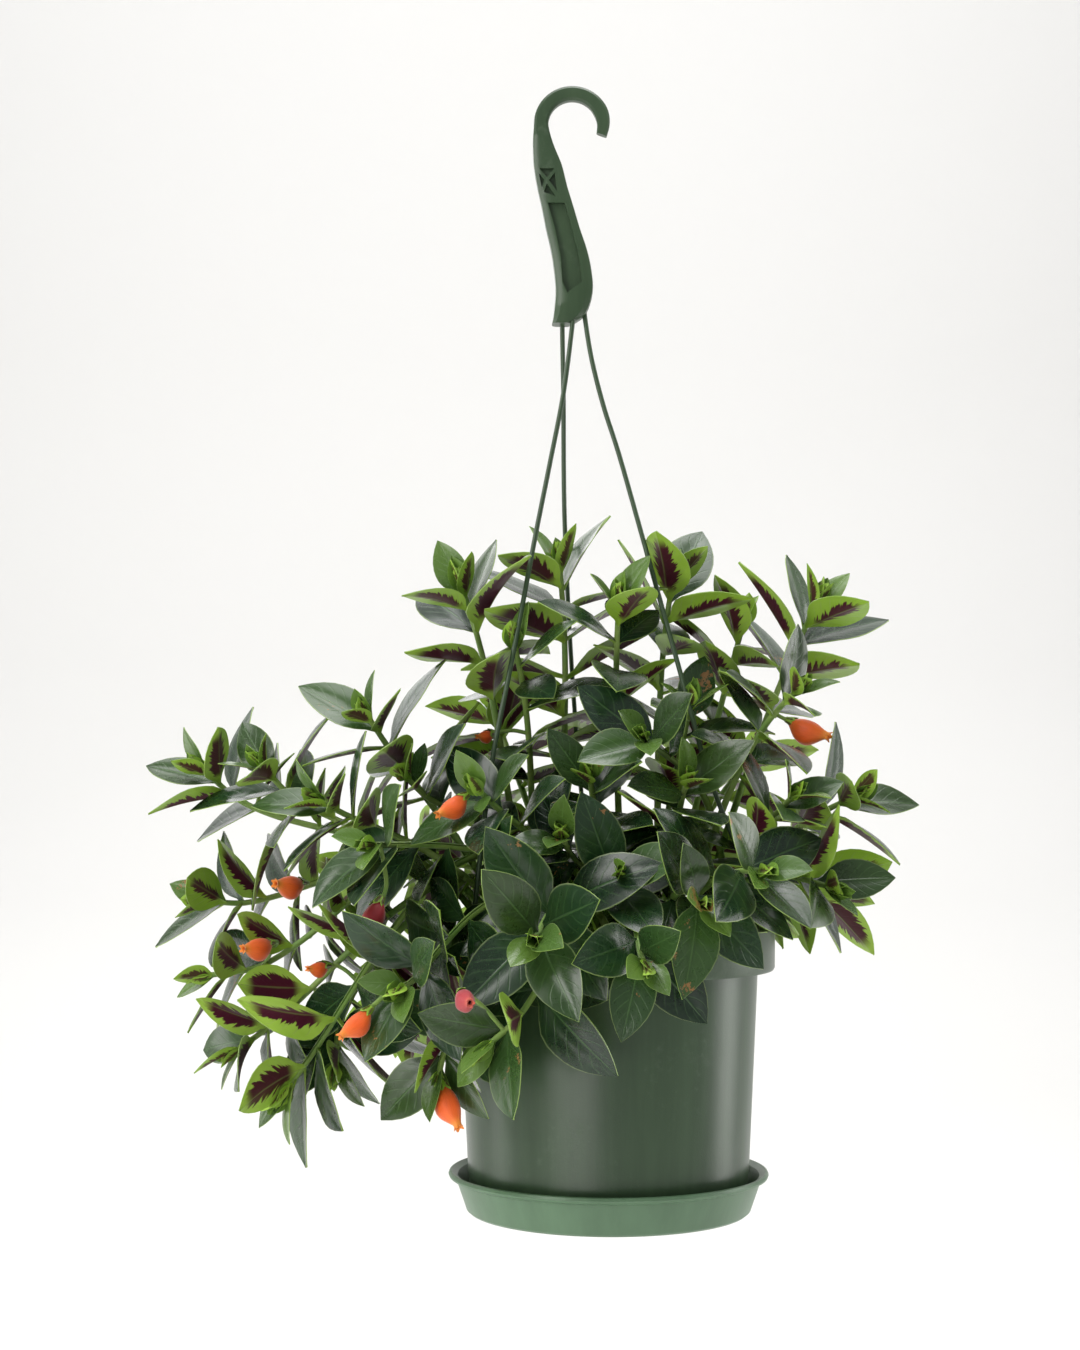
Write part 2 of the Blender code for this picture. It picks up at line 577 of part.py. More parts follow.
def foot_shape(name):
    """The cross bar under the ledge, which keeps the strand from pulling out."""
    turn = math.radians(LUG_ANGLES[name])
    out = Vector((math.cos(turn), math.sin(turn), 0.0))
    across = Vector((-out.y, out.x, 0.0))
    z1 = RIM_TOP - RIM_WALL - GAP
    verts = []
    for z in (z1 - 2.4, z1):
        for a, b in ((-1, -1), (1, -1), (1, 1), (-1, 1)):
            sideways = across * (b * FOOT_LEN * 0.5)
            verts.append(out * (LUG_R - 0.5 + a * 1.6) + sideways + Vector((0.0, 0.0, z)))
    faces = [(3, 2, 1, 0), (4, 5, 6, 7), (0, 1, 5, 4), (1, 2, 6, 5), (2, 3, 7, 6), (3, 0, 4, 7)]
    return verts, faces


def material(name, colour, rough):
    made = bpy.data.materials.new(name)
    made.use_nodes = True
    shader = made.node_tree.nodes["Principled BSDF"]
    shader.inputs["Base Color"].default_value = (*colour, 1.0)
    shader.inputs["Roughness"].default_value = rough
    made.diffuse_color = (*colour, 1.0)
    return made


def add(name, shape, paint=None, smooth=True):
    verts, faces = shape
    mesh = bpy.data.meshes.new(name)
    mesh.from_pydata([tuple(spot(v)) for v in verts], [], faces)
    mesh.validate()
    obj = bpy.data.objects.new(name, mesh)
    bpy.context.scene.collection.objects.link(obj)
    if paint:
        mesh.materials.append(paint)
    if smooth:
        mesh.shade_smooth()
        mesh.set_sharp_from_angle(angle=math.radians(32))
    return obj


def combine(obj, shapes, operation):
    """One Boolean with a collection of the shapes, applied, and the collection's objects removed."""
    group = bpy.data.collections.new(obj.name + "_tools")
    bpy.context.scene.collection.children.link(group)
    for i, shape in enumerate(shapes):
        tool = add(f"{obj.name}_tool_{i}", shape, None, False)
        bpy.context.scene.collection.objects.unlink(tool)
        group.objects.link(tool)
        tool.hide_render = True
        tool.display_type = "WIRE"
    modifier = obj.modifiers.new(operation.lower(), "BOOLEAN")
    modifier.operation = operation
    modifier.operand_type = "COLLECTION"
    modifier.collection = group
    modifier.solver = "EXACT"
    bpy.context.view_layer.objects.active = obj
    bpy.ops.object.modifier_apply(modifier=modifier.name)
    for tool in list(group.objects):
        bpy.data.objects.remove(tool, do_unlink=True)
    bpy.data.collections.remove(group)


def main():
    for old in list(bpy.data.objects):
        bpy.data.objects.remove(old, do_unlink=True)
    plastic = material("pot_green", (0.075, 0.125, 0.070), 0.42)
    light = material("saucer_green", (0.165, 0.275, 0.185), 0.45)
    moulded = material("hanger_green", (0.045, 0.085, 0.045), 0.42)
    earth = material("potting_mix", (0.050, 0.032, 0.020), 0.95)
    leafy = material("leaf_green", (0.030, 0.075, 0.022), 0.30)
    orange = material("bloom_orange", (0.900, 0.155, 0.020), 0.45)
    red = material("bloom_red", (0.480, 0.030, 0.045), 0.50)

    fixed = [lathe(pot_profile()), lathe(saucer_profile()), handle_shape()]
    fixed += [strand_shape(name) for name in STRANDS] + [foot_shape(name) for name in STRANDS]
    plant, blooms = grow_plant(fixed, lathe(soil_profile(), 24))

    posts = [math.radians(a) for a in POST_ANGLES]
    drains = [math.radians(a) for a in DRAIN_ANGLES]
    post_at = [(POST_RING_R * math.cos(a), POST_RING_R * math.sin(a)) for a in posts]
    drain_at = [(POST_RING_R * math.cos(a), POST_RING_R * math.sin(a)) for a in drains]

    pot = add("pot", lathe(pot_profile()), plastic)
    holes = [rod(c, 0.0, 12.0, FLOOR_HOLE_R, 9) for c in post_at + drain_at]
    for name, angle in LUG_ANGLES.items():
        turn = math.radians(angle)
        place = (LUG_R * math.cos(turn), LUG_R * math.sin(turn))
        holes.append(rod(place, RIM_TOP - 4.0, RIM_TOP + 4.0, LUG_HOLE_R, 8))
    combine(pot, holes, "DIFFERENCE")

    saucer = add("saucer", lathe(saucer_profile()), light)
    head = POT_FOOT + POT_FLOOR + 0.8 + GAP
    pegs = []
    for c in post_at:
        pegs.append(lathe(((0.0, 1.8), (POST_R, 1.8), (POST_R, head), (POST_HEAD_R, head + 0.2),
                           (POST_HEAD_R - 0.4, head + 1.4), (0.0, head + 2.6)), 8, c))
    combine(saucer, pegs, "UNION")

    soil = add("potting_mix", lathe(soil_profile(), 24), earth)
    base = POT_FOOT + POT_FLOOR + 0.8
    cuts = [rod(c, base - 2.0, base + 4.0, POST_HEAD_R + 0.6, 8) for c in post_at]
    for stem in plant.values():
        centre = (stem["root"].x, stem["root"].y)
        cuts.append(rod(centre, SOIL_TOP - ROOT_DEPTH - 1.0, SOIL_TOP + 12.0, ROOT_HOLE_R, 5))
    combine(soil, cuts, "DIFFERENCE")

    handle = add("hanger_handle", handle_shape(), moulded)
    sockets = []
    for outline in POCKETS:
        sockets += [prism(outline, -12.0, -1.3), prism(outline, 1.3, 12.0)]
    for name in STRANDS:
        line = strand_line(name)
        ahead = (line[1] - line[0]).normalized()
        sockets.append(tube([line[0] - ahead * 1.0, line[1] + ahead * 14.0], [STRAND_R + 0.45] * 2, 8))
    combine(handle, sockets, "DIFFERENCE")

    for name in STRANDS:
        strand = add("strand_" + name, strand_shape(name), moulded)
        combine(strand, [foot_shape(name)], "UNION")

    for name, stem in plant.items():
        obj = add("stem_" + name, tube(stem["line"], stem["radii"], 4), leafy)
        shapes = [blade(leaf) for leaf in stem["leaves"]]
        shapes += [tube(stalk, [1.0, 0.95, 0.95, 1.2, 1.6], 4) for stalk in stem["stalks"]]
        if shapes:
            combine(obj, shapes, "UNION")
        obj.data.shade_smooth()
        obj.data.set_sharp_from_angle(angle=math.radians(40))
    for name, bloom in blooms.items():
        paint = red if name.endswith("old") else orange
        add("bloom_" + name, pouch(bloom["base"], bloom["dir"], bloom["length"]), paint)
    total = 0
    for obj in bpy.context.scene.objects:
        obj.data.calc_loop_triangles()
        total += len(obj.data.loop_triangles)
    print("stems", len(plant), "leaves", sum(len(s["leaves"]) for s in plant.values()),
          "wanted", sum(2 * s["pairs"] for s in plant.values()), "blooms", len(blooms), "triangles", total)


main()
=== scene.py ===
# %% [markdown]
# A goldfish plant in its hanging pot. The imported solids give every place and size; this lesson dresses them.
# First the frame is loaded.

# %% Load the frame
import json
import math
import random

import bmesh
import bpy
from mathutils import Matrix, Vector
from mathutils.bvhtree import BVHTree
from mathutils.noise import noise as noise_at

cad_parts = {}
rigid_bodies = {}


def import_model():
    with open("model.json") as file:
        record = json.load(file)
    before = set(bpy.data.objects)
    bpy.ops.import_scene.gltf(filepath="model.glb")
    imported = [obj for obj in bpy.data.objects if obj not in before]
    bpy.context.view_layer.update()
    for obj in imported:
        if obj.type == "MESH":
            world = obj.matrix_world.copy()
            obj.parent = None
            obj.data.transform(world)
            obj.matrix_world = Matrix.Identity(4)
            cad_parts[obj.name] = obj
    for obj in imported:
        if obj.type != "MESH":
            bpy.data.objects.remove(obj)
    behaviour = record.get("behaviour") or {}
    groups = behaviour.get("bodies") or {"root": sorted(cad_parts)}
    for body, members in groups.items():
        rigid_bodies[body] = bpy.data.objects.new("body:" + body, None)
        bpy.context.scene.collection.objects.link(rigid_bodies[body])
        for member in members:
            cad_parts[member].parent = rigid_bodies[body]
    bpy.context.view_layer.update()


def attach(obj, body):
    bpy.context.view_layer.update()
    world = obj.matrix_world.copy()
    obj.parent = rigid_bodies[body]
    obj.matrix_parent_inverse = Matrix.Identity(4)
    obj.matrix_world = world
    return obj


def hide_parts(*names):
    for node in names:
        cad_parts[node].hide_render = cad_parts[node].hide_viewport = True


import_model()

# %% [markdown]
# The plant's sizes are the same named values as in its solids, in millimetres above the saucer's underside
# on the pot's axis. Naming them once keeps every later piece in step with the frame.

# %% Sizes
MM = 0.001
GAP = 0.3                  # clearance between separate pieces, mm

# Pot, saucer and filling, mm, z counted from the saucer's underside on the pot's axis
RIM_R = 76.0               # outer radius of the rim band
RIM_TOP = 128.6
RIM_BAND = 20.0            # height of the rim band
RIM_WALL = 1.6
BODY_TOP_R = 69.0          # outer radius of the body just below the ledge
BODY_FOOT_R = 63.0
POT_FOOT = 3.6             # underside of the pot's floor
POT_FLOOR = 2.0            # thickness of the floor
FLOOR_RECESS = 0.8         # the middle of the floor stands this much above the foot
WALL = 1.6
SAUCER_R = 72.5
SAUCER_H = 18.0
SAUCER_FOOT_R = 64.0
SAUCER_WALL = 1.8
SOIL_TOP = 116.0
SOIL_CROWN = 3.0
ROUND = 28                 # sides of the round pieces

# Snap posts of the saucer and holes in the pot's floor
POST_RING_R = 30.0
POST_R = 2.6
POST_HEAD_R = 3.8
POST_ANGLES = (90.0, 210.0, 330.0)
DRAIN_ANGLES = (30.0, 150.0, 270.0)
FLOOR_HOLE_R = 3.1

# Hanger
LUG_R = 72.2               # radius of the holes in the rim's ledge
LUG_HOLE_R = 1.7
LUG_ANGLES = {"left": 215.0, "right": 335.0, "back": 95.0}
STRAND_R = 1.15
FOOT_LEN = 6.4             # cross bar at the lower end of a strand
FOOT_WIDE = 3.2
FOOT_HIGH = 2.4
FOOT_R = 71.7              # its distance from the axis
HOOK_X = -16.0             # centre of the hook's arc
HOOK_Z = 499.0
HOOK_IN_R = 11.0
HOOK_W = 7.0
HOOK_D = 5.6

ORIGIN = Vector((HOOK_X, 0.0, HOOK_Z + HOOK_IN_R))

# Growth
EYE = Vector((-31.0, -1000.0, 190.6))   # where the shoots' places were judged from, mm
ROOT_DEPTH = 20.0
ROOT_RING = 57.0           # the outermost root's distance from the axis
GOLDEN_TURN = 2.39996      # from one seed to the next in a seed head, radians
STEM_ATTEMPTS = 90
BLOOM_ATTEMPTS = 60
STEM_BASE_R = 1.9
STEM_TIP_R = 1.25
LEAF_WIDE = 0.54           # width over length
LEAF_THICK = 1.3
BLOOM_BELLY = 0.27         # half the belly's height over the bloom's length
BLOOM_SAG = 0.38           # how far the belly hangs, over its half height
BLOOM_FLAT = 0.86          # width over height
SEED = 1804
print("hook crown at", tuple(ORIGIN))


# %% [markdown]
# Where each stem ends, how it leans and how many pairs of leaves it carries was judged, as a florist would
# describe it. The blooms hang from the stems that are named with them.

# %% Stems and blooms by name
# name: tip seen from the front (x, z), depth y, tip direction, rise of the arch, pairs, leaf length
STEMS = {
    "top_centre": ((-22, 291), 8, (-0.1, -0.35, 1.0), 60, 7, 46),
    "top_left": ((-66, 280), -6, (-0.35, -0.45, 1.0), 60, 6, 46),
    "top_right": ((30, 285), 10, (0.15, -0.4, 1.0), 60, 7, 47),
    "far_right": ((95, 272), 4, (0.45, -0.35, 1.0), 55, 5, 46),
    "right_mid": ((86, 234), -36, (0.5, -0.7, 0.5), 50, 5, 38),
    "left_upper": ((-109, 222), -26, (-0.4, -0.6, 0.7), 50, 7, 41),
    "left_shoot": ((-157, 200), -14, (-0.4, -0.6, 0.7), 60, 7, 38),
    "far_left": ((-184, 198), 6, (-0.6, -0.45, 0.8), 70, 7, 40),
    "left_mid": ((-130, 184), -46, (-0.5, -0.75, 0.35), 50, 7, 40),
    "left_out": ((-182, 139), 4, (-0.85, -0.5, 0.25), 75, 8, 38),
    "left_low": ((-184, 108), -16, (-0.85, -0.5, 0.0), 80, 8, 36),
    "left_drop": ((-168, 72), -32, (-0.8, -0.4, -0.4), 85, 8, 38),
    "lowest_left": ((-143, 58), -56, (-0.6, -0.4, -0.7), 90, 8, 46),
    "low_inner": ((-124, 66), -36, (0.2, -0.5, -0.8), 85, 8, 40),
    "rosette_left": ((-93, 100), -92, (-0.3, -0.9, 0.1), 60, 6, 42),
    "rosette_mid": ((-33, 123), -106, (0.0, -1.0, 0.1), 45, 5, 42),
    "rosette_top": ((5, 151), -74, (0.0, -0.9, 0.4), 35, 4, 42),
    "front_shoot": ((-8, 194), -46, (-0.1, -0.7, 0.7), 35, 6, 38),
    "front_left": ((-58, 188), -60, (-0.35, -0.8, 0.45), 40, 6, 40),
    "high_right": ((38, 228), -16, (0.1, -0.6, 0.8), 50, 6, 40),
    "front_right": ((36, 192), -46, (0.15, -0.85, 0.4), 35, 6, 40),
    "rosette_right": ((70, 153), -80, (0.2, -0.9, 0.0), 40, 5, 40),
    "right_low": ((100, 146), -36, (0.4, -0.8, -0.1), 50, 5, 40),
    "right_out": ((112, 186), -10, (0.6, -0.65, 0.3), 50, 5, 40),
    "drop_front": ((-77, 62), -74, (-0.1, -0.4, -0.9), 75, 7, 38),
    "left_front": ((-105, 162), -76, (-0.4, -0.85, 0.2), 45, 7, 42),
    "over_rim": ((16, 112), -102, (0.2, -0.9, -0.3), 45, 4, 38),
    "over_rim_left": ((-57, 80), -96, (-0.4, -0.7, -0.6), 58, 4, 42),
    "inner_top": ((-42, 254), -20, (-0.2, -0.65, 0.75), 50, 6, 44),
    "inner_right": ((62, 264), 26, (0.3, 0.1, 1.0), 50, 6, 45),
    "back_left_low": ((-112, 146), 76, (-0.7, 0.6, 0.1), 65, 6, 40),
    "back_left": ((-52, 226), 58, (-0.3, 0.6, 0.9), 50, 6, 40),
    "back_right": ((64, 204), 68, (0.4, 0.7, 0.5), 50, 6, 40),
    "back_right_low": ((100, 142), 66, (0.7, 0.6, -0.1), 60, 6, 40),
    "back_drop": ((42, 116), 108, (0.2, 0.9, -0.4), 60, 6, 40),
    "back_mid": ((-32, 112), 112, (-0.1, 0.9, -0.4), 60, 6, 40),
    "back_left_drop": ((-92, 88), 98, (-0.4, 0.7, -0.6), 75, 6, 40),
    "front_low_right": ((43, 138), -88, (0.1, -0.95, 0.1), 45, 5, 40),
    "front_fill": ((-20, 168), -66, (-0.15, -0.8, 0.5), 35, 6, 40),
    "right_fill": ((84, 186), -48, (0.35, -0.75, 0.45), 45, 6, 40),
    "crown_centre": ((5, 274), -14, (0.05, -0.5, 0.9), 50, 6, 44),
    "face_mid": ((14, 210), -56, (0.05, -0.85, 0.5), 40, 6, 41),
    "left_deep": ((-90, 196), -40, (-0.45, -0.75, 0.45), 50, 6, 40),
}

# name: place seen from the front (x, z), the stem it grows on, direction of the pouch, length
BLOOMS = {
    "right_high": ((92, 218), "far_right", (0.75, -0.5, -0.35), 22),
    "left_high": ((-144, 147), "left_out", (-0.8, -0.5, -0.1), 20),
    "left_low": ((-159, 118), "left_low", (-0.75, -0.5, -0.4), 19),
    "drop_low": ((-72, 47), "drop_front", (0.45, -0.5, -0.75), 22),
    "left_inner": ((-71, 183), "front_left", (-0.5, -0.55, -0.6), 18),
    "left_front": ((-115, 84), "rosette_left", (-0.55, -0.55, -0.6), 18),
    "left_bud": ((-132, 109), "low_inner", (-0.4, -0.8, -0.3), 13),
    "top_bud": ((-56, 215), "inner_top", (-0.4, -0.8, -0.2), 11),
    "left_old": ((-108, 133), "left_front", (-0.6, -0.5, -0.5), 18),
    "mid_old": ((-64, 100), "over_rim_left", (0.6, -0.6, -0.5), 17),
}
print("stems", len(STEMS), "blooms", len(BLOOMS))

# %% [markdown]
# The next helpers carry the plant's measurements into the scene. A place in mm becomes one in metres, a place
# judged from the front gets its depth, and a line gets two directions square to it, so that rings of
# points can be set along it.

# %% Places, directions and plain tubes
UP = Vector((0.0, 0.0, 1.0))


def spot(p):
    """A place in mm above the saucer's underside, in the part's own metres."""
    return (Vector(p) - ORIGIN) * MM


def ring_spot(radius, turn, height):
    """The place at this angle on a ring about the pot's axis, in the part's own metres."""
    return spot((radius * math.cos(turn), radius * math.sin(turn), height))


def seen(front, depth):
    """The place that lies at this depth behind the pot's axis and looks from the front like (x, z)."""
    point = Vector((front[0], 0.0, front[1]))
    return EYE + (point - EYE) * ((depth - EYE.y) / -EYE.y)


def frame_of(direction, up):
    """Two unit vectors square to the direction, the second as near as can be to up."""
    side = up.cross(direction)
    if side.length < 1e-6:
        side = Vector((0.3, 1.0, 0.2)).cross(direction)
    side.normalize()
    return side, direction.cross(side).normalized()


def tube_faces(rings, sides):
    """The faces of a closed tube: a band between each two rings and a cap on both ends."""
    faces = []
    for i in range(rings - 1):
        for k in range(sides):
            n = (k + 1) % sides
            faces.append((i * sides + k, i * sides + n, (i + 1) * sides + n, (i + 1) * sides + k))
    faces.append(tuple(reversed(range(sides))))
    faces.append(tuple(range((rings - 1) * sides, rings * sides)))
    return faces


def tube(path, radii, sides):
    """A closed tube through the path, its rings carried along without twist."""
    verts = []
    up = Vector((0.0, 1.0, 0.15)).normalized()
    for i, point in enumerate(path):
        a, b = path[max(i - 1, 0)], path[min(i + 1, len(path) - 1)]
        side, up = frame_of((b - a).normalized(), up)
        for k in range(sides):
            turn = 2.0 * math.pi * (k + 0.5) / sides
            verts.append(point + (side * math.cos(turn) + up * math.sin(turn)) * radii[i])
    return verts, tube_faces(len(path), sides)


def bezier(a, b, c, d, t):
    """The place at share t on the curve that leaves a toward b and comes into d from c."""
    s = 1.0 - t
    return a * s**3 + b * (3 * s * s * t) + c * (3 * s * t * t) + d * t**3


print("foot of the pot's axis at", tuple(round(c, 3) for c in spot((0.0, 0.0, 0.0))))

# %% [markdown]
# The growing rule. A leaf or a stem is tried, compared with everything already placed, bent if it would touch
# another piece, and left off only when no bend helps. The light shapes here are never shown: they only
# keep the distances, and the fine leaves made later stand at the same places.

# %% A light leaf
def blade(leaf, grow=0.0, start=0.0):
    """A thick leaf folded along its midrib: a small root section inside the stem, then the widest and
    the tapering section, then the point. The upper and the lower face share the outline. A small or
    hidden leaf has a flat upper face and so three corners a section in place of four, and one behind or
    deep among the others tapers straight to its point."""
    along, normal, size = leaf["dir"], leaf["normal"], leaf["size"]
    side = normal.cross(along).normalized()
    verts, faces = [], []
    plain = leaf["plain"]
    rows = BLADE[:2] if leaf["brief"] else BLADE
    for t, wide, thick in rows:
        if t < start:
            t, wide = start, 0.45
        mid = leaf["base"] + along * (size * t + 0.2) - normal * (size * leaf["droop"] * t * t)
        half = size * LEAF_WIDE * 0.5 * wide + grow
        lift = half * leaf["fold"] if t > 0.05 else 0.2
        body = thick * LEAF_THICK * 0.5 + grow
        verts.append(mid - side * half + normal * lift)
        if not plain:
            verts.append(mid + normal * body)
        verts.append(mid + side * half + normal * lift)
        verts.append(mid - normal * body)
    tip = leaf["base"] + along * (size + grow) - normal * (size * leaf["droop"])
    verts.append(tip)
    rings, m = len(rows), 3 if plain else 4
    faces.append(tuple(range(m)))
    for i in range(rings - 1):
        for k in range(m):
            n = (k + 1) % m
            faces.append((i * m + n, i * m + k, (i + 1) * m + k, (i + 1) * m + n))
    last = (rings - 1) * m
    for k in range(m):
        faces.append((last + (k + 1) % m, last + k, rings * m))
    return verts, faces


# Share of the length, width over the widest, thickness over the thickest
BLADE = ((0.0, 0.065, 0.8), (0.46, 1.0, 1.0), (0.80, 0.64, 0.7))
print("light leaf", len(BLADE), "sections and a point")

# %% A light bloom
# Share of the length, height over the belly's
POUCH = ((0.0, 0.20), (0.16, 0.48), (0.38, 0.94), (0.62, 0.98), (0.84, 0.56), (1.0, 0.30))


def pouch_middle(base, along, up, length, t):
    """The middle of the bloom at this share of its length, which sags below the straight line."""
    sag = length * BLOOM_BELLY * BLOOM_SAG
    return base + along * (length * t) - up * (sag * math.sin(math.pi * min(t / 0.93, 1.0)))


def pouch(base, along, length, grow=0.0):
    """The goldfish-shaped bloom: a narrow neck, a belly that hangs below its axis, a pinched mouth."""
    side, up = frame_of(along, UP)
    verts, sides = [], 8
    for t, wide in POUCH:
        middle = pouch_middle(base, along, up, length, t)
        reach = length * BLOOM_BELLY * wide + grow
        for k in range(sides):
            turn = 2.0 * math.pi * (k + 0.5) / sides
            verts.append(middle + (side * math.cos(turn) * BLOOM_FLAT + up * math.sin(turn)) * reach)
    return verts, tube_faces(len(POUCH), sides)


print("light bloom", len(POUCH), "rings")


# %% Who stands where
class Crowd:
    """What is already placed, by owner, as one tree that a new shape is compared with."""

    def __init__(self):
        self.shapes = []

    def add(self, owner, shape):
        self.shapes.append((owner, shape))

    def tree(self, but=()):
        verts, faces = [], []
        for owner, (points, sides) in self.shapes:
            if owner in but:
                continue
            start = len(verts)
            verts.extend(points)
            faces.extend(tuple(start + i for i in side) for side in sides)
        return BVHTree.FromPolygons(verts, faces)


def touches(tree, shape):
    """Whether the shape's faces cross any face that is in the tree."""
    return bool(BVHTree.FromPolygons(shape[0], shape[1]).overlap(tree))


trial = Crowd()
trial.add("bloom", pouch(Vector((0.0, 0.0, 0.0)), UP, 20.0))
print("two crossing blooms touch:", touches(trial.tree(), pouch(Vector((0.0, 3.0, 2.0)), UP, 20.0)))


# %% Lines of the stems
def stem_line(root, tip, heading, rise, rng, loose):
    """The stem's middle line, from the bottom of its root hole to the tip."""
    out = Vector((tip.x - root.x, tip.y - root.y, 0.0))
    shove = Vector((rng.uniform(-1, 1), rng.uniform(-1, 1), rng.uniform(-0.3, 1.0))) * loose
    shift = Vector((rng.uniform(-1, 1), rng.uniform(-1, 1), rng.uniform(-1, 1))) * loose
    knee = root + out * 0.30 + Vector((0.0, 0.0, rise)) + shove
    reach = (tip - root).length * 0.33
    neck = tip - heading * reach + shift
    end = tip + shift * 0.25
    collar = root + Vector((0.0, 0.0, SOIL_CROWN + 2.0))
    line = [root - Vector((0.0, 0.0, ROOT_DEPTH)), collar]
    for i in range(1, 9):
        line.append(bezier(collar, knee, neck, end, i / 8.0))
    return line


def root_places(count, rng):
    """Spread over the filling like seeds in a head, clear of each other and of the wall."""
    places = []
    for i in range(count):
        r = ROOT_RING * math.sqrt((i + 0.6) / count)
        turn = i * GOLDEN_TURN
        x, y = r * math.cos(turn) + rng.uniform(-1, 1), r * math.sin(turn) + rng.uniform(-1, 1)
        places.append(Vector((x, y, SOIL_TOP)))
    return places


def along_line(line, back):
    """The place and the heading at this length back from the tip."""
    left = back
    for a, b in zip(reversed(line[:-1]), reversed(line[1:])):
        step = (b - a).length
        if left <= step:
            return b + (a - b) * (left / step), (b - a).normalized()
        left -= step
    return line[0], UP


def sight(place):
    """A slim wedge from a bloom toward the front, which leaves keep out of so that the bloom shows."""
    toward = (EYE - place).normalized()
    line = [place + toward * 10.0, place + toward * 70.0]
    return tube(line, [6.5, 6.5], 6)


print("roots", len(root_places(len(STEMS), random.Random(SEED))), "within about", ROOT_RING, "mm of the axis")

# %% [markdown]
# A plant is grown in the order in which it would hold its place: the stems first, each bent until it passes
# the others, then the blooms, which must be seen, and at last the leaves in the room that is left.

# %% Growing the stems and the blooms
def grow_plant(fixed, soil):
    """Every stem with its leaves, and every bloom with its stalk, in mm. fixed holds the shapes of the
    made pieces, which everything stays clear of; the stems alone may enter the soil."""
    rng = random.Random(SEED)
    crowd = Crowd()
    for shape in fixed:
        crowd.add("made", shape)
    free = root_places(len(STEMS) + 2, rng)
    plant = {}
    for name, (front, depth, heading, rise, pairs, size) in STEMS.items():
        tip = seen(front, depth)
        heading = Vector(heading).normalized()
        flat = Vector((tip.x, tip.y, 0.0))
        wish = flat.normalized() * min(54.0, 18.0 + flat.length * 0.20)
        root = min(free, key=lambda p: (Vector((p.x, p.y, 0.0)) - wish).length)
        free.remove(root)
        tree = crowd.tree()
        for attempt in range(STEM_ATTEMPTS):
            line = stem_line(root, tip, heading, rise + attempt * 0.5, rng, 1.0 + attempt * 0.35)
            radii = [STEM_BASE_R - (STEM_BASE_R - STEM_TIP_R) * i / (len(line) - 1) for i in range(len(line))]
            if not touches(tree, tube(line[1:], [r + 0.9 for r in radii[1:]], 4)):
                break
        else:
            print("no clear way for stem", name)
            continue
        crowd.add(name, tube(line, radii, 4))
        plant[name] = {"line": line, "radii": radii, "leaves": [], "stalks": [], "pairs": pairs, "size": size}
    crowd.add("made", soil)
    blooms = {}
    for name, (front, owner, heading, length) in BLOOMS.items():
        wish = Vector(heading).normalized()
        line = plant[owner]["line"]
        samples = [along_line(line, back)[0] for back in range(4, 110, 3)]
        near = min(samples, key=lambda p: (seen(front, p.y) - p).length)
        tree, tree_own = crowd.tree(but=(owner,)), crowd.tree()
        for attempt in range(BLOOM_ATTEMPTS):
            nudge = Vector((rng.uniform(-1, 1), rng.uniform(-1, 1), rng.uniform(-1, 1))) * attempt * 0.25
            middle = seen(front, near.y - 9.0 - (attempt % 6) * 2.0) + nudge
            heading = (wish * 0.9 + (middle - near).normalized() * 0.6).normalized()
            neck = middle - heading * length * 0.5
            body = pouch(neck, heading, length, 0.7)
            end = neck - heading * GAP
            far = (end - near).length
            bow = near + (end - near) * 0.3 + Vector((0.0, 0.0, far * 0.15))
            stop = end - heading * 1.6
            ahead = stop - heading * far * 0.25
            stalk = [bezier(near, bow, ahead, stop, t) for t in (0.0, 0.4, 0.75)] + [stop, end]
            clear = far > 8.0 and heading.dot(end - near) > far * 0.3
            clear = clear and not touches(tree_own, body) and not touches(tree, tube(stalk, [1.5] * 5, 4))
            if clear:
                break
        else:
            print("no room for bloom", name)
            continue
        plant[owner]["stalks"].append(stalk)
        blooms[name] = {"base": neck, "dir": heading, "length": length}
        crowd.add("bloom_" + name, pouch(neck, heading, length))
        crowd.add("bloom_" + name, sight(neck))
        crowd.add(owner, tube(stalk, [1.0] * 5, 4))
    for name, stem in plant.items():
        tree = crowd.tree(but=(name,))
        place_leaves(name, stem, tree, crowd, rng)
    return plant, blooms


print("each stem may be bent", STEM_ATTEMPTS, "times and each bloom moved", BLOOM_ATTEMPTS, "times")

# %% Leaves in opposite pairs
# For each pair from the tip down: opening from the stem, size over the stem's own, length of stem before it
ANGLES = (22.0, 42.0, 57.0, 67.0, 74.0, 79.0, 82.0, 80.0)
SIZES = (0.58, 0.94, 1.10, 1.12, 1.08, 1.0, 0.95, 0.9)
STEPS = (1.5, 5.5, 8.5, 12.5, 15.0, 16.0, 17.0, 17.0)
# What is tried in turn for a leaf: more opening, a swing round the stem, a share of its size
TRIES = ((0, 0, 1.0), (12, 0, 1.0), (-12, 0, 1.0), (0, 14, 1.0), (0, -14, 1.0), (20, 10, 0.95),
         (-20, -10, 0.95), (10, -26, 0.9), (-10, 26, 0.9), (26, -16, 0.85), (-26, 16, 0.85), (0, 34, 0.8),
         (0, -34, 0.8), (34, 0, 0.75), (-34, 0, 0.75), (16, 40, 0.7), (-16, -40, 0.7), (40, -20, 0.62),
         (0, 0, 0.55))


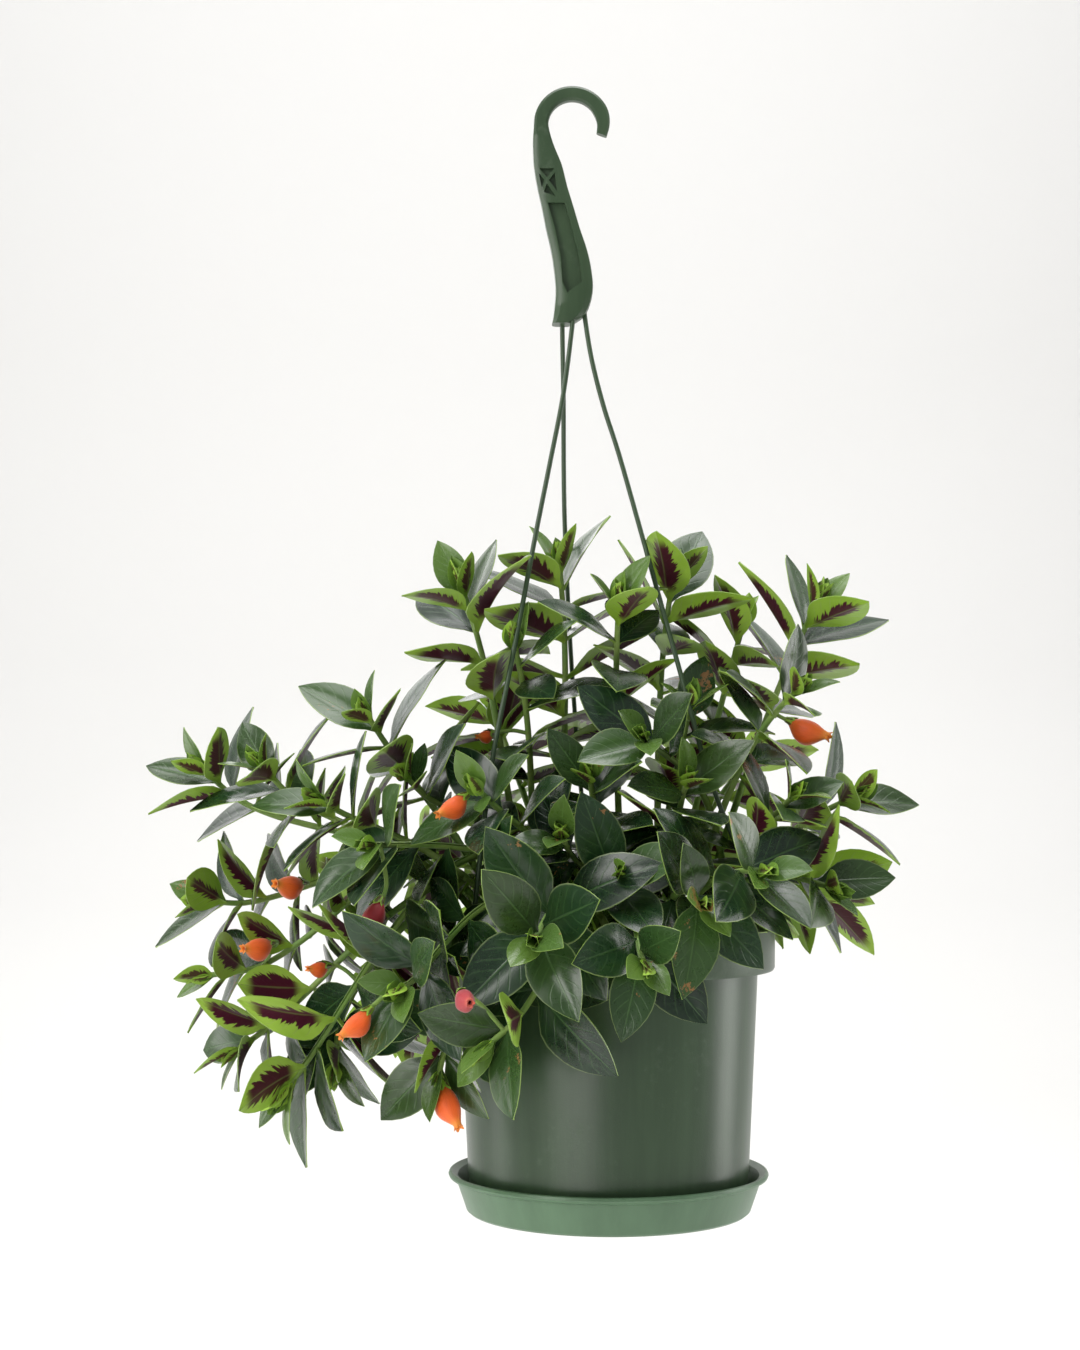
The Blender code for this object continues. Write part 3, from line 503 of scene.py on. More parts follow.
def place_leaves(name, stem, tree, crowd, rng):
    """Opposite pairs, each pair square to the one before, larger and wider open away from the tip. A leaf
    that would touch another piece is bent, then made smaller, and only then left off."""
    back, spin = 0.0, rng.uniform(0.0, 180.0)
    own = Crowd()
    for pair in range(stem["pairs"]):
        back += STEPS[pair] * (stem["size"] / 40.0)
        place, heading = along_line(stem["line"], back)
        if place.z < SOIL_TOP + 10.0 and math.hypot(place.x, place.y) < RIM_R:
            break
        side, up = frame_of(heading, UP)
        for half in (0, 1):
            place, heading = along_line(stem["line"], back + half * 0.9)
            turn0 = spin + 90.0 * pair + 180.0 * half + rng.uniform(-12, 12)
            size0 = stem["size"] * SIZES[pair] * rng.uniform(0.88, 1.1)
            open0 = ANGLES[pair] + rng.uniform(-6, 6)
            droop, fold = rng.uniform(0.08, 0.26), rng.uniform(0.14, 0.34)
            for bend, swing, scale in TRIES:
                turn, opened = math.radians(turn0 + swing), math.radians(min(max(open0 + bend, 12.0), 105.0))
                away = side * math.cos(turn) + up * math.sin(turn)
                along = (heading * math.cos(opened) + away * math.sin(opened)).normalized()
                outward = Vector((place.x, place.y, 0.0)).normalized()
                face = heading * 0.85 + UP * 0.5 + outward * 0.45
                normal = face - along * face.dot(along)
                if normal.length < 0.15:
                    normal = heading - along * heading.dot(along)
                leaf = {"base": place, "dir": along, "normal": normal.normalized(), "size": size0 * scale,
                        "droop": droop, "fold": fold, "pair": pair,
                        "plain": not (name.startswith("rosette") and pair in (1, 2, 3)),
                        "brief": name.startswith("back") or pair > 3}
                if touches(tree, blade(leaf, 0.55)):
                    continue
                if own.shapes and touches(own.tree(), blade(leaf, 0.1, 0.16)):
                    continue
                stem["leaves"].append(leaf)
                crowd.add(name, blade(leaf))
                own.add(name, blade(leaf, 0.0, 0.16))
                break


print("a leaf may be tried in", len(TRIES), "ways")

# %% [markdown]
# The pot, saucer, filling, handle and strands are moulded or filled, so an outline or a middle line tells all
# of their shape. The growing rule needs them as light shapes to stay clear of, and the fine pieces that
# are shown come from the same outlines further down.

# %% Outlines of the round pieces
def lathe(profile, sides=ROUND):
    """A closed ring or solid turned from a closed profile of (r, z); a point at r 0 is one vertex."""
    verts, faces, rows = [], [], []
    for r, z in profile:
        if r < 1e-6:
            rows.append([len(verts)] * sides)
            verts.append(Vector((0.0, 0.0, z)))
            continue
        rows.append(list(range(len(verts), len(verts) + sides)))
        for k in range(sides):
            turn = 2.0 * math.pi * k / sides
            verts.append(Vector((r * math.cos(turn), r * math.sin(turn), z)))
    for i in range(len(rows)):
        lower, upper = rows[i], rows[(i + 1) % len(rows)]
        for k in range(sides):
            n = (k + 1) % sides
            ring = [lower[k], lower[n], upper[n], upper[k]]
            corners = []
            for v in ring:
                if v not in corners:
                    corners.append(v)
            if len(corners) > 2:
                faces.append(tuple(corners))
    return verts, faces


def body_radius(z):
    """Outer radius of the pot's body at this height."""
    share = (z - POT_FOOT) / (RIM_TOP - RIM_WALL - POT_FOOT)
    return BODY_FOOT_R + (BODY_TOP_R - BODY_FOOT_R) * share


def pot_profile():
    """Outside up to the rim and back down inside, as (r, z)."""
    low, top = POT_FOOT, RIM_TOP
    inner = WALL
    return (
        (0.0, low + FLOOR_RECESS), (BODY_FOOT_R - 6.0, low + FLOOR_RECESS),
        (BODY_FOOT_R - 4.5, low), (BODY_FOOT_R - 1.6, low), (BODY_FOOT_R, low + 1.8),
        (body_radius(60.0), 60.0), (body_radius(top - 6.0), top - 6.0), (BODY_TOP_R, top - RIM_WALL),
        (RIM_R - RIM_WALL - 0.6, top - RIM_WALL),
        (RIM_R - RIM_WALL - 0.3, top - RIM_BAND), (RIM_R - 0.9, top - RIM_BAND),
        (RIM_R - 0.2, top - RIM_BAND + 1.2), (RIM_R, top - 1.6), (RIM_R - 1.0, top - 0.2), (RIM_R - 1.8, top),
        (BODY_TOP_R - inner + 0.8, top), (BODY_TOP_R - inner, top - 0.9),
        (body_radius(60.0) - inner, 60.0), (BODY_FOOT_R - inner, low + POT_FLOOR + 2.4),
        (BODY_FOOT_R - inner - 2.4, low + POT_FLOOR + FLOOR_RECESS),
        (0.0, low + POT_FLOOR + FLOOR_RECESS),
    )


def saucer_profile():
    """Underside out to the lip and back in along the floor, as (r, z)."""
    w = SAUCER_WALL
    return (
        (0.0, 0.9), (SAUCER_FOOT_R - 6.0, 0.9), (SAUCER_FOOT_R - 5.0, 0.0), (SAUCER_FOOT_R - 0.8, 0.0),
        (SAUCER_FOOT_R + 0.4, 1.0), (SAUCER_R - 3.4, SAUCER_H - 3.6), (SAUCER_R - 0.4, SAUCER_H - 2.4),
        (SAUCER_R, SAUCER_H - 1.4), (SAUCER_R - 0.5, SAUCER_H - 0.3), (SAUCER_R - 1.4, SAUCER_H),
        (SAUCER_R - 4.2, SAUCER_H - 1.6), (SAUCER_R - 5.2, SAUCER_H - 3.4),
        (SAUCER_FOOT_R - 1.2, 0.9 + w + 1.0), (SAUCER_FOOT_R - 2.8, 0.9 + w), (0.0, 0.9 + w),
    )


def soil_profile():
    """The filling, a little smaller than the pot's inside and crowned on top, as (r, z)."""
    base = POT_FOOT + POT_FLOOR + FLOOR_RECESS + GAP
    inner = WALL + 0.4
    return (
        (0.0, base), (BODY_FOOT_R - inner - 2.8, base), (BODY_FOOT_R - inner - 0.2, base + 2.6),
        (body_radius(60.0) - inner, 60.0), (body_radius(SOIL_TOP) - inner - 0.2, SOIL_TOP - 3.0),
        (body_radius(SOIL_TOP) - inner - 2.6, SOIL_TOP - 0.8), (42.0, SOIL_TOP + SOIL_CROWN * 0.6),
        (20.0, SOIL_TOP + SOIL_CROWN), (0.0, SOIL_TOP + SOIL_CROWN + 0.4),
    )


print("outline points", len(pot_profile()), len(saucer_profile()), len(soil_profile()))

# %% Outlines of the hanger
# Outline of the handle: centre x, z, width, depth from the foot up, then round the hook's arc
HANDLE = (
    ((-21.0, 0, 405.0), 9.0, 10.0), ((-17.2, 0, 410.0), 15.0, 11.0), ((-15.2, 0, 420.0), 17.4, 10.5),
    ((-15.8, 0, 430.0), 17.6, 9.5), ((-17.6, 0, 440.0), 17.0, 8.6), ((-20.4, 0, 450.0), 16.0, 8.0),
    ((-22.8, 0, 460.0), 15.0, 7.6), ((-25.4, 0, 470.0), 14.2, 7.2), ((-27.4, 0, 480.0), 13.2, 6.6),
    ((-29.6, 0, 490.0), 9.6, 6.0),
)


def handle_sections():
    """The webbed handle up into the hook: middle, width, depth and the way across, for each section."""
    sections = [(Vector(p), w, d, Vector((1.0, 0.0, 0.0))) for p, w, d in HANDLE]
    middle = HOOK_IN_R + HOOK_W * 0.5
    for i in range(11):
        turn = math.radians(184.0 - 20.4 * i)
        out = Vector((math.cos(turn), 0.0, math.sin(turn)))
        taper = 1.0 - 0.28 * max(0, i - 8) / 2.0
        place = Vector((HOOK_X, 0.0, HOOK_Z)) + out * middle
        sections.append((place, HOOK_W * taper, HOOK_D * taper, -out))
    return sections


def handle_shape():
    """The handle as a light shape with eight corners a section."""
    sections = handle_sections()
    verts = []
    for place, wide, deep, across in sections:
        for a, b in ((-1, -0.6), (-0.8, -1), (0.8, -1), (1, -0.6), (1, 0.6), (0.8, 1), (-0.8, 1), (-1, 0.6)):
            verts.append(place + across * (a * wide * 0.5) + Vector((0.0, b * deep * 0.5, 0.0)))
    return verts, tube_faces(len(sections), 8)


# Pockets between the handle's crossed ribs, and the long hollow below them, as (x, z)
POCKETS = (
    ((-31.2, 477.6), (-24.4, 477.6), (-27.8, 473.4)),
    ((-31.6, 475.6), (-29.0, 472.0), (-30.2, 468.6)),
    ((-24.2, 475.6), (-26.8, 472.0), (-23.2, 467.0)),
    ((-27.8, 470.4), (-29.2, 466.4), (-24.0, 464.6)),
    ((-27.4, 461.4), (-19.6, 461.4), (-16.4, 450.0), (-13.4, 438.0), (-11.6, 424.0), (-18.4, 419.0),
     (-20.6, 424.0), (-21.4, 436.0), (-24.2, 450.0)),
)

# Middle lines of the strands from the socket in the handle down to above the ledge hole
STRANDS = {
    "left": ((-15.4, -3.4, 413.0), (-15.9, -3.6, 405.5), (-20.2, -6.0, 372.0), (-26.6, -12.5, 338.0),
             (-33.2, -18.6, 304.0), (-39.0, -24.5, 272.0), (-45.0, -30.5, 240.0), (-52.5, -37.5, 200.0)),
    "back": ((-20.4, 3.2, 411.0), (-20.6, 3.6, 403.5), (-20.3, 7.5, 388.0), (-20.0, 12.0, 372.0),
             (-19.4, 27.0, 320.0), (-16.5, 43.0, 260.0), (-12.0, 57.5, 200.0)),
    "right": ((-10.6, 0.4, 415.0), (-10.0, 0.0, 407.0), (-7.0, -1.6, 388.0), (-1.6, -3.4, 366.0),
              (5.4, -6.5, 343.0), (16.0, -10.5, 304.0), (32.0, -17.5, 244.0), (46.0, -23.5, 192.0)),
}


def strand_line(name):
    """The strand's middle line, through its hole in the ledge and down to its foot."""
    turn = math.radians(LUG_ANGLES[name])
    foot = Vector((LUG_R * math.cos(turn), LUG_R * math.sin(turn), 0.0))
    line = [Vector(p) for p in STRANDS[name]]
    for z in (RIM_TOP + 14.0, RIM_TOP + 3.0, RIM_TOP - RIM_WALL - 3.4):
        line.append(foot + Vector((0.0, 0.0, z)))
    return line


def strand_shape(name):
    """The strand as a light shape."""
    line = strand_line(name)
    return tube(line, [STRAND_R] * len(line), 5)


def foot_shape(name):
    """The cross bar under the ledge, which keeps the strand from pulling out."""
    turn = math.radians(LUG_ANGLES[name])
    out = Vector((math.cos(turn), math.sin(turn), 0.0))
    across = Vector((-out.y, out.x, 0.0))
    z1 = RIM_TOP - RIM_WALL - GAP
    verts = []
    for z in (z1 - FOOT_HIGH, z1):
        for a, b in ((-1, -1), (1, -1), (1, 1), (-1, 1)):
            sideways = across * (b * FOOT_LEN * 0.5)
            verts.append(out * (FOOT_R + a * FOOT_WIDE * 0.5) + sideways + Vector((0.0, 0.0, z)))
    faces = [(3, 2, 1, 0), (4, 5, 6, 7), (0, 1, 5, 4), (1, 2, 6, 5), (2, 3, 7, 6), (3, 0, 4, 7)]
    return verts, faces


print("handle sections", len(handle_sections()), "strands", len(STRANDS))

# %% [markdown]
# Every finish is a small network of shader nodes. Writing node sums by hand is slow to read, so one class
# wraps an output and lets it be added, subtracted and multiplied like a number, and a second class owns one
# material and makes any other node that it needs.

# %% Shader sums as Python expressions
class Wire:
    """One output of a node, usable in sums."""

    def __init__(self, finish, socket):
        self.finish = finish
        self.socket = socket

    def math(self, operation, first, second=None):
        values = {0: first} if second is None else {0: first, 1: second}
        return self.finish.node("ShaderNodeMath", values, operation=operation)

    def __add__(self, other):
        return self.math("ADD", self, other)

    def __radd__(self, other):
        return self.math("ADD", other, self)

    def __sub__(self, other):
        return self.math("SUBTRACT", self, other)

    def __rsub__(self, other):
        return self.math("SUBTRACT", other, self)

    def __mul__(self, other):
        return self.math("MULTIPLY", self, other)

    def __rmul__(self, other):
        return self.math("MULTIPLY", other, self)

    def __abs__(self):
        return self.math("ABSOLUTE", self)

    def sine(self):
        return self.math("SINE", self)

    def ramp(self, low, high):
        """0 below low, 1 above high, smooth between them."""
        return self.finish.node("ShaderNodeMapRange", {"Value": self, "From Min": low, "From Max": high},
                                interpolation_type="SMOOTHSTEP")


class Finish:
    """One material and the nodes that feed its surface."""

    def __init__(self, name):
        self.material = bpy.data.materials.new(name)
        self.material.use_nodes = True
        self.tree = self.material.node_tree
        self.surface = self.tree.nodes["Principled BSDF"]
        self.place = self.node("ShaderNodeTexCoord", out="Object")

    def node(self, kind, values=None, out=0, **settings):
        """A node of this type with its settings, then its inputs, given as values or wires."""
        made = self.tree.nodes.new(kind)
        for key, value in settings.items():
            setattr(made, key, value)
        for key, value in (values or {}).items():
            self.feed(made.inputs[key], value)
        return Wire(self, made.outputs[out])

    def feed(self, socket, value):
        if isinstance(value, Wire):
            self.tree.links.new(value.socket, socket)
        else:
            socket.default_value = value

    def mix(self, share, first, second):
        """first where share is 0, second where it is 1."""
        colours = [c if isinstance(c, Wire) else (*c, 1.0) for c in (first, second)]
        return self.node("ShaderNodeMix", {0: share, 6: colours[0], 7: colours[1]}, out=2, data_type="RGBA")

    def noise(self, scale, detail=3.0, rough=0.55, place=None):
        """Soft noise on the piece's own metres, or on another place."""
        return self.node("ShaderNodeTexNoise", {"Vector": place or self.place, "Scale": scale,
                                                "Detail": detail, "Roughness": rough})

    def bump(self, height, strength, distance):
        return self.node("ShaderNodeBump", {"Height": height, "Strength": strength, "Distance": distance})

    def parts(self, vector):
        """The three numbers of a vector."""
        split = self.node("ShaderNodeSeparateXYZ", {"Vector": vector}).socket.node
        return [Wire(self, socket) for socket in split.outputs]

    def set(self, **values):
        """Feeds the surface's own inputs; an underscore stands for the space in an input's name."""
        for key, value in values.items():
            self.feed(self.surface.inputs[key.replace("_", " ")], value)


print("materials so far", len(bpy.data.materials))

# %% [markdown]
# Blender keeps an object and its data apart, and shows neither until the object is linked to a collection.
# Two helpers do that for everything below: one turns a finished bmesh into a mesh, one shows an object.

# %% Meshes and objects
def as_mesh(name, shape):
    """A mesh of the bmesh, which is freed."""
    mesh = bpy.data.meshes.new(name)
    shape.to_mesh(mesh)
    shape.free()
    return mesh


def shown(name, data):
    """A new object of this data, in the scene."""
    made = bpy.data.objects.new(name, data)
    bpy.context.scene.collection.objects.link(made)
    return made


# %% [markdown]
# The real plant was seen from one metre, level with the middle of its leaves and tilted slightly up. A fairly
# long lens keeps the pot's sides nearly upright.

# %% Camera
CAMERA_TILT = 2.97          # degrees up
LENS, SENSOR = 58.1, 36.0   # mm
eye = shown("camera", bpy.data.cameras.new("camera"))
eye.location = spot(EYE)
eye.rotation_euler = (math.radians(90.0 + CAMERA_TILT), 0.0, 0.0)
eye.data.lens = LENS
eye.data.sensor_width = SENSOR
bpy.context.scene.camera = eye
print("camera", tuple(round(c, 3) for c in eye.location))

# %% [markdown]
# Waxy leaves are read by the soft shapes that they reflect, so the lamps are large rectangles that stand all
# round the plant. The strongest in the picture is the key lamp at the front left. One more lights the paper.

# %% Lamps
def soft_lamp(name, place, aim, size, power, tint):
    """A soft rectangle of light at this place, turned to its aim."""
    lamp = shown(name, bpy.data.lights.new(name, "AREA"))
    lamp.location = place
    lamp.rotation_euler = (aim - place).to_track_quat("-Z", "Y").to_euler()
    lamp.data.shape = "RECTANGLE"
    lamp.data.size, lamp.data.size_y = size
    lamp.data.energy = power
    lamp.data.color = tint


MIDDLE = spot((-30.0, 0.0, 190.0))      # middle of the foliage
WHITE, WARM, SOFT = (1.0, 1.0, 1.0), (1.0, 0.99, 0.96), (1.0, 1.0, 0.98)
# name: place and aim from the middle of the foliage in metres, width and height, watts, tint
LAMPS = {
    "key_lamp": ((-0.95, -0.95, 0.80), (0.0, 0.0, 0.0), (0.45, 1.4), 12.0, WARM),
    "right_lamp": ((1.25, 0.25, 0.10), (0.0, 0.0, 0.0), (0.45, 1.6), 9.5, SOFT),
    "left_lamp": ((-1.25, 0.10, 0.10), (0.0, 0.0, 0.0), (0.40, 1.6), 6.5, SOFT),
    "top_lamp": ((0.15, -0.30, 1.35), (0.0, 0.0, 0.0), (0.9, 0.7), 9.5, WHITE),
    "low_lamp": ((-0.65, -1.30, -0.32), (0.0, 0.0, 0.0), (0.9, 0.4), 5.0, WARM),
    "rim_lamp": ((-0.5, 1.1, 0.75), (0.0, 0.0, 0.0), (1.2, 0.6), 3.5, WHITE),
    "paper_lamp": ((0.0, 0.45, 2.3), (0.0, 1.6, -0.2), (2.6, 0.8), 29.0, WHITE),
}
for name, (place, aim, size, power, tint) in LAMPS.items():
    soft_lamp(name, MIDDLE + Vector(place), MIDDLE + Vector(aim), size, power, tint)
print("lamps", len(LAMPS))

# %% [markdown]
# A sheet of pale paper lies on the floor and curves up behind, so that no edge shows where the floor ends.
# One edge is extruded backwards and then up, and smooth shading hides its few folds.

# %% Paper
sweep_mesh = bmesh.new()
FLOOR_Z = spot((0.0, 0.0, -260.0)).z    # the plant hangs well clear of the floor
PAPER_HALF, PAPER_FRONT = 4.0, -3.0     # half width and front edge of the paper, m
# Where the paper's folds lie: y, and height above the floor, m
FOLDS = ((0.6, 0.0), (0.95, 0.03), (1.25, 0.13), (1.5, 0.32), (1.66, 0.6), (1.72, 1.0), (1.72, 3.2))
start = [sweep_mesh.verts.new((x, PAPER_FRONT, FLOOR_Z)) for x in (-PAPER_HALF, PAPER_HALF)]
edge = sweep_mesh.edges.new(start)
for y, z in FOLDS:
    grown = bmesh.ops.extrude_edge_only(sweep_mesh, edges=[edge])["geom"]
    edge = next(part for part in grown if isinstance(part, bmesh.types.BMEdge))
    for vert in edge.verts:
        vert.co = (vert.co.x, y, FLOOR_Z + z)
bmesh.ops.recalc_face_normals(sweep_mesh, faces=sweep_mesh.faces)
sweep = shown("studio_sweep", as_mesh("studio_sweep", sweep_mesh))
sweep.data.shade_smooth()

paper = Finish("studio_paper")
paper.set(Base_Color=(0.80, 0.795, 0.785, 1.0), Roughness=0.9)
sweep.data.materials.append(paper.material)
print("paper on the floor at", round(FLOOR_Z, 3))

# %% [markdown]
# A little even light from all round keeps the shadows among the leaves open, as white walls do.

# %% Light of the room
bpy.context.scene.view_settings.view_transform = "Standard"
WORLD_STRENGTH = 0.33
world = bpy.data.worlds.new("studio_world")
world.use_nodes = True
glow = world.node_tree.nodes["Background"]
glow.inputs["Color"].default_value = (1.0, 1.0, 1.0, 1.0)
glow.inputs["Strength"].default_value = WORLD_STRENGTH
bpy.context.scene.world = world
print("room light", WORLD_STRENGTH)

# %% [markdown]
# The pot and the saucer are thin injection-moulded shells, so each is one closed outline turned about the
# axis. The solids have few sides; the pieces that replace them are turned in many fine steps from the same
# outline. Its small chamfers are shaded smooth, which looks like the rounding that a mould leaves. The
# handle, which is cut afterwards, gets that rounding from a Bevel.

# %% Turned pieces
def finished(name, shape, finishes, nodes, soft_angle):
    """Makes an object of the bmesh, dresses it, hangs it on the root body and hides the solids it stands in
    for.
    """
    mesh = as_mesh(name, shape)
    mesh.shade_smooth()
    mesh.set_sharp_from_angle(angle=math.radians(soft_angle))
    piece = shown(name, mesh)
    for one in finishes:
        mesh.materials.append(one.material)
    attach(piece, "root")
    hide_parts(*nodes)
    return piece


def turned(profile, steps):
    """Spins an outline of (r, z) in mm about the pot's axis into a closed shell."""
    shell = bmesh.new()
    row = [shell.verts.new(spot((r, 0.0, z))) for r, z in profile]
    chain = [shell.edges.new(pair) for pair in zip(row, row[1:])]
    bmesh.ops.spin(shell, geom=row + chain, cent=spot((0.0, 0.0, 0.0)), axis=(0.0, 0.0, 1.0),
                   angle=2.0 * math.pi, steps=steps, use_merge=True)
    bmesh.ops.remove_doubles(shell, verts=shell.verts, dist=1e-6)
    bmesh.ops.recalc_face_normals(shell, faces=shell.faces)
    return shell


def rounded(piece, width):
    """The small radius that a mould leaves on an edge."""
    soften = piece.modifiers.new("mould_radius", "BEVEL")
    soften.width = width * MM
    soften.segments = 2
    soften.limit_method = "ANGLE"
    soften.angle_limit = math.radians(32.0)


ROUND_STEPS = 144
print("one step of a turned rim is", round(2.0 * math.pi * RIM_R / ROUND_STEPS, 1), "mm wide")

# %% [markdown]
# Nursery plastic is coloured all through and only satin. The melt leaves faint flow lines up the wall, the
# mould a fine grain, and use leaves pale dust. Three green plastics differ only in tone, shine and grain.

# %% Plastic finishes
def moulded_plastic(name, dark, pale, shine, grain):
    """Coloured moulded plastic: faint flow lines up the wall, a fine skin grain, and pale dust."""
    look = Finish(name)
    x, y, z = look.parts(look.place)
    upright = look.node("ShaderNodeCombineXYZ", {0: x, 1: y, 2: z * 0.06})
    flow = look.noise(90.0, 4.0, 0.6, upright)
    cloud = look.noise(22.0, 3.0, 0.5)
    dust = look.noise(240.0, 5.0, 0.7)
    shade = look.mix(flow.ramp(0.25, 0.8), dark, pale)
    dusty = (dust * 0.6 + cloud * 0.6).ramp(0.66, 0.86)
    haze = tuple(min(1.0, c * 1.25 + 0.05) for c in pale)
    look.set(Base_Color=look.mix(dusty * 0.35, shade, haze),
             Roughness=shine + flow * 0.10 + dusty * 0.22,
             Normal=look.bump(look.noise(grain, 2.0, 0.5) * 0.5 + flow, 0.22, 0.0003))
    return look


pot_finish = moulded_plastic("pot_plastic", (0.031, 0.060, 0.029), (0.047, 0.086, 0.043), 0.26, 1500.0)
saucer_finish = moulded_plastic("saucer_plastic", (0.085, 0.160, 0.088), (0.112, 0.205, 0.116), 0.33, 1500.0)
hanger_finish = moulded_plastic("hanger_plastic", (0.028, 0.056, 0.025), (0.044, 0.080, 0.037), 0.30, 1800.0)
print("plastic finish", len(pot_finish.tree.nodes), "nodes")

# %% [markdown]
# The pot's outline runs from the middle of its underside out to the wall, up round the rim and back down
# inside, so that one full turn makes the floor, the wall and the rim at once.

# %% Pot
pot = finished("pot_shell", turned(pot_profile(), ROUND_STEPS), (pot_finish,), ["pot"], 28.0)
print("pot shell", len(pot.data.polygons), "faces")

# %% [markdown]
# The pot has round holes: three in the ledge of the rim for the strands, and six in its floor, for the
# saucer's posts and for water. Plain cylinders are put where the holes belong, and one Boolean cuts them all
# out. A Boolean suits plain holes, because they cross the wall cleanly.

# %% Holes of the pot
def cutter_set(name):
    """A collection for the shapes that are to be cut out of one piece."""
    made = bpy.data.collections.new(name)
    bpy.context.scene.collection.children.link(made)
    return made


pot_cutters = cutter_set("pot_cutters")


def round_hole(name, angle, ring, height, radius):
    """A plain cylinder that stands at this angle on a ring about the axis, to be cut out of the pot."""
    hole = bmesh.new()
    bmesh.ops.create_cone(hole, cap_ends=True, segments=20, radius1=radius * MM, radius2=radius * MM,
                          depth=8.0 * MM)
    bmesh.ops.translate(hole, verts=hole.verts, vec=ring_spot(ring, math.radians(angle), height))
    pot_cutters.objects.link(bpy.data.objects.new(name, as_mesh(name, hole)))


for lug, angle in LUG_ANGLES.items():
    round_hole("lug_hole_" + lug, angle, LUG_R, RIM_TOP, LUG_HOLE_R)
for angle in POST_ANGLES + DRAIN_ANGLES:
    round_hole("floor_hole_" + str(round(angle)), angle, POST_RING_R, POT_FOOT + 2.0, FLOOR_HOLE_R)


def carved(piece, collection):
    """Cuts the collection's shapes out of the piece, applies the cut and removes the shapes."""
    bpy.context.view_layer.update()
    cut = piece.modifiers.new("cut", "BOOLEAN")
    cut.operation = "DIFFERENCE"
    cut.operand_type = "COLLECTION"
    cut.collection = collection
    cut.solver = "EXACT"
    result = bpy.data.meshes.new_from_object(piece.evaluated_get(bpy.context.evaluated_depsgraph_get()))
    piece.modifiers.remove(cut)
    old = piece.data
    piece.data = result
    bpy.data.meshes.remove(old)
    for shape in list(collection.objects):
        bpy.data.objects.remove(shape, do_unlink=True)
    bpy.data.collections.remove(collection)
    piece.data.shade_smooth()
    piece.data.set_sharp_from_angle(angle=math.radians(30.0))


carved(pot, pot_cutters)
print("pot", len(pot.data.polygons), "faces")

# %% [markdown]
# The saucer is turned like the pot. Three posts with small barbed heads stand on its floor and snap through
# the floor of the pot. Each starts as a disc, which is lifted and widened or narrowed from height to height.

# %% Saucer with its snap posts
POST_ROOT = 1.9             # where the posts start inside the saucer's floor


def snap_post(angle):
    """A post at this angle, lifted section by section up to the tip of its head."""
    post = bmesh.new()
    head = POT_FOOT + POT_FLOOR + FLOOR_RECESS + GAP
    rows = ((POST_R, POST_ROOT), (POST_R, head), (POST_HEAD_R, head + 0.2), (POST_HEAD_R - 0.4, head + 1.4),
            (0.6, head + 2.4))
    ring = bmesh.ops.create_circle(post, cap_ends=True, segments=20, radius=POST_R * MM)["verts"]
    bmesh.ops.translate(post, verts=ring, vec=ring_spot(POST_RING_R, math.radians(angle), POST_ROOT))
    for (r0, z0), (r1, z1) in zip(rows, rows[1:]):
        top = max(post.faces, key=lambda face: face.calc_center_median().z)
        lifted = bmesh.ops.extrude_discrete_faces(post, faces=[top])["faces"]
        centre = lifted[0].calc_center_median()
        rim = list(lifted[0].verts)
        bmesh.ops.translate(post, verts=rim, vec=(0.0, 0.0, (z1 - z0) * MM))
        grow = Matrix.Diagonal((r1 / r0, r1 / r0, 1.0, 1.0))
        grow = Matrix.Translation(centre) @ grow @ Matrix.Translation(-centre)
        bmesh.ops.transform(post, matrix=grow, verts=rim)
    bmesh.ops.recalc_face_normals(post, faces=post.faces)
    return as_mesh("post", post)


saucer_shell = turned(saucer_profile(), ROUND_STEPS)
for angle in POST_ANGLES:
    post_mesh = snap_post(angle)
    saucer_shell.from_mesh(post_mesh)
    bpy.data.meshes.remove(post_mesh)
saucer = finished("saucer_shell", saucer_shell, (saucer_finish,), ["saucer"], 28.0)
print("saucer", len(saucer.data.polygons), "faces")

# %% [markdown]
# The hanger's handle is a flat moulded web that runs up into the hook. It is drawn like wire through a die:
# one rounded outline is extruded from section to section, narrower and rounder toward the hook. The pockets
# between its crossed ribs are cut afterwards, as the mould's cores leave them.

# %% A curve through places, and a section drawn along it
def smooth_line(points, parts):
    """Points of a Catmull-Rom curve through the points, with the given number of parts a span."""
    line = []
    for i in range(len(points) - 1):
        a = points[max(i - 1, 0)]
        b, c = points[i], points[i + 1]
        d = points[min(i + 2, len(points) - 1)]
        for k in range(parts):
            t = k / parts
            line.append(b + ((c - a) * t + (a * 2.0 - b * 5.0 + c * 4.0 - d) * t**2
                             + (b * 3.0 - a - c * 3.0 + d) * t**3) * 0.5)
    line.append(points[-1])
    return line


def drawn(shape, rings):
    """Extrudes a closed loop through the rings, each a list of places in mm, and caps the ends."""
    loop = [shape.verts.new(spot(p)) for p in rings[0]]
    edges = [shape.edges.new((loop[i - 1], loop[i])) for i in range(len(loop))]
    shape.faces.new(list(reversed(loop)))
    for ring in rings[1:]:
        grown = bmesh.ops.extrude_edge_only(shape, edges=edges)["geom"]
        loop = [part for part in grown if isinstance(part, bmesh.types.BMVert)]
        edges = [part for part in grown if isinstance(part, bmesh.types.BMEdge) and
                 all(vert in loop for vert in part.verts)]
        for vert, place in zip(loop, ring):
            vert.co = spot(place)
    shape.faces.new(loop)


SPAN_PARTS = 4              # parts of a smoothed line between two of its given places
handle_line = smooth_line([section[0] for section in handle_sections()], SPAN_PARTS)
print("handle line", len(handle_line), "places")

# %% Handle and hook
HANDLE_SIDES = 16


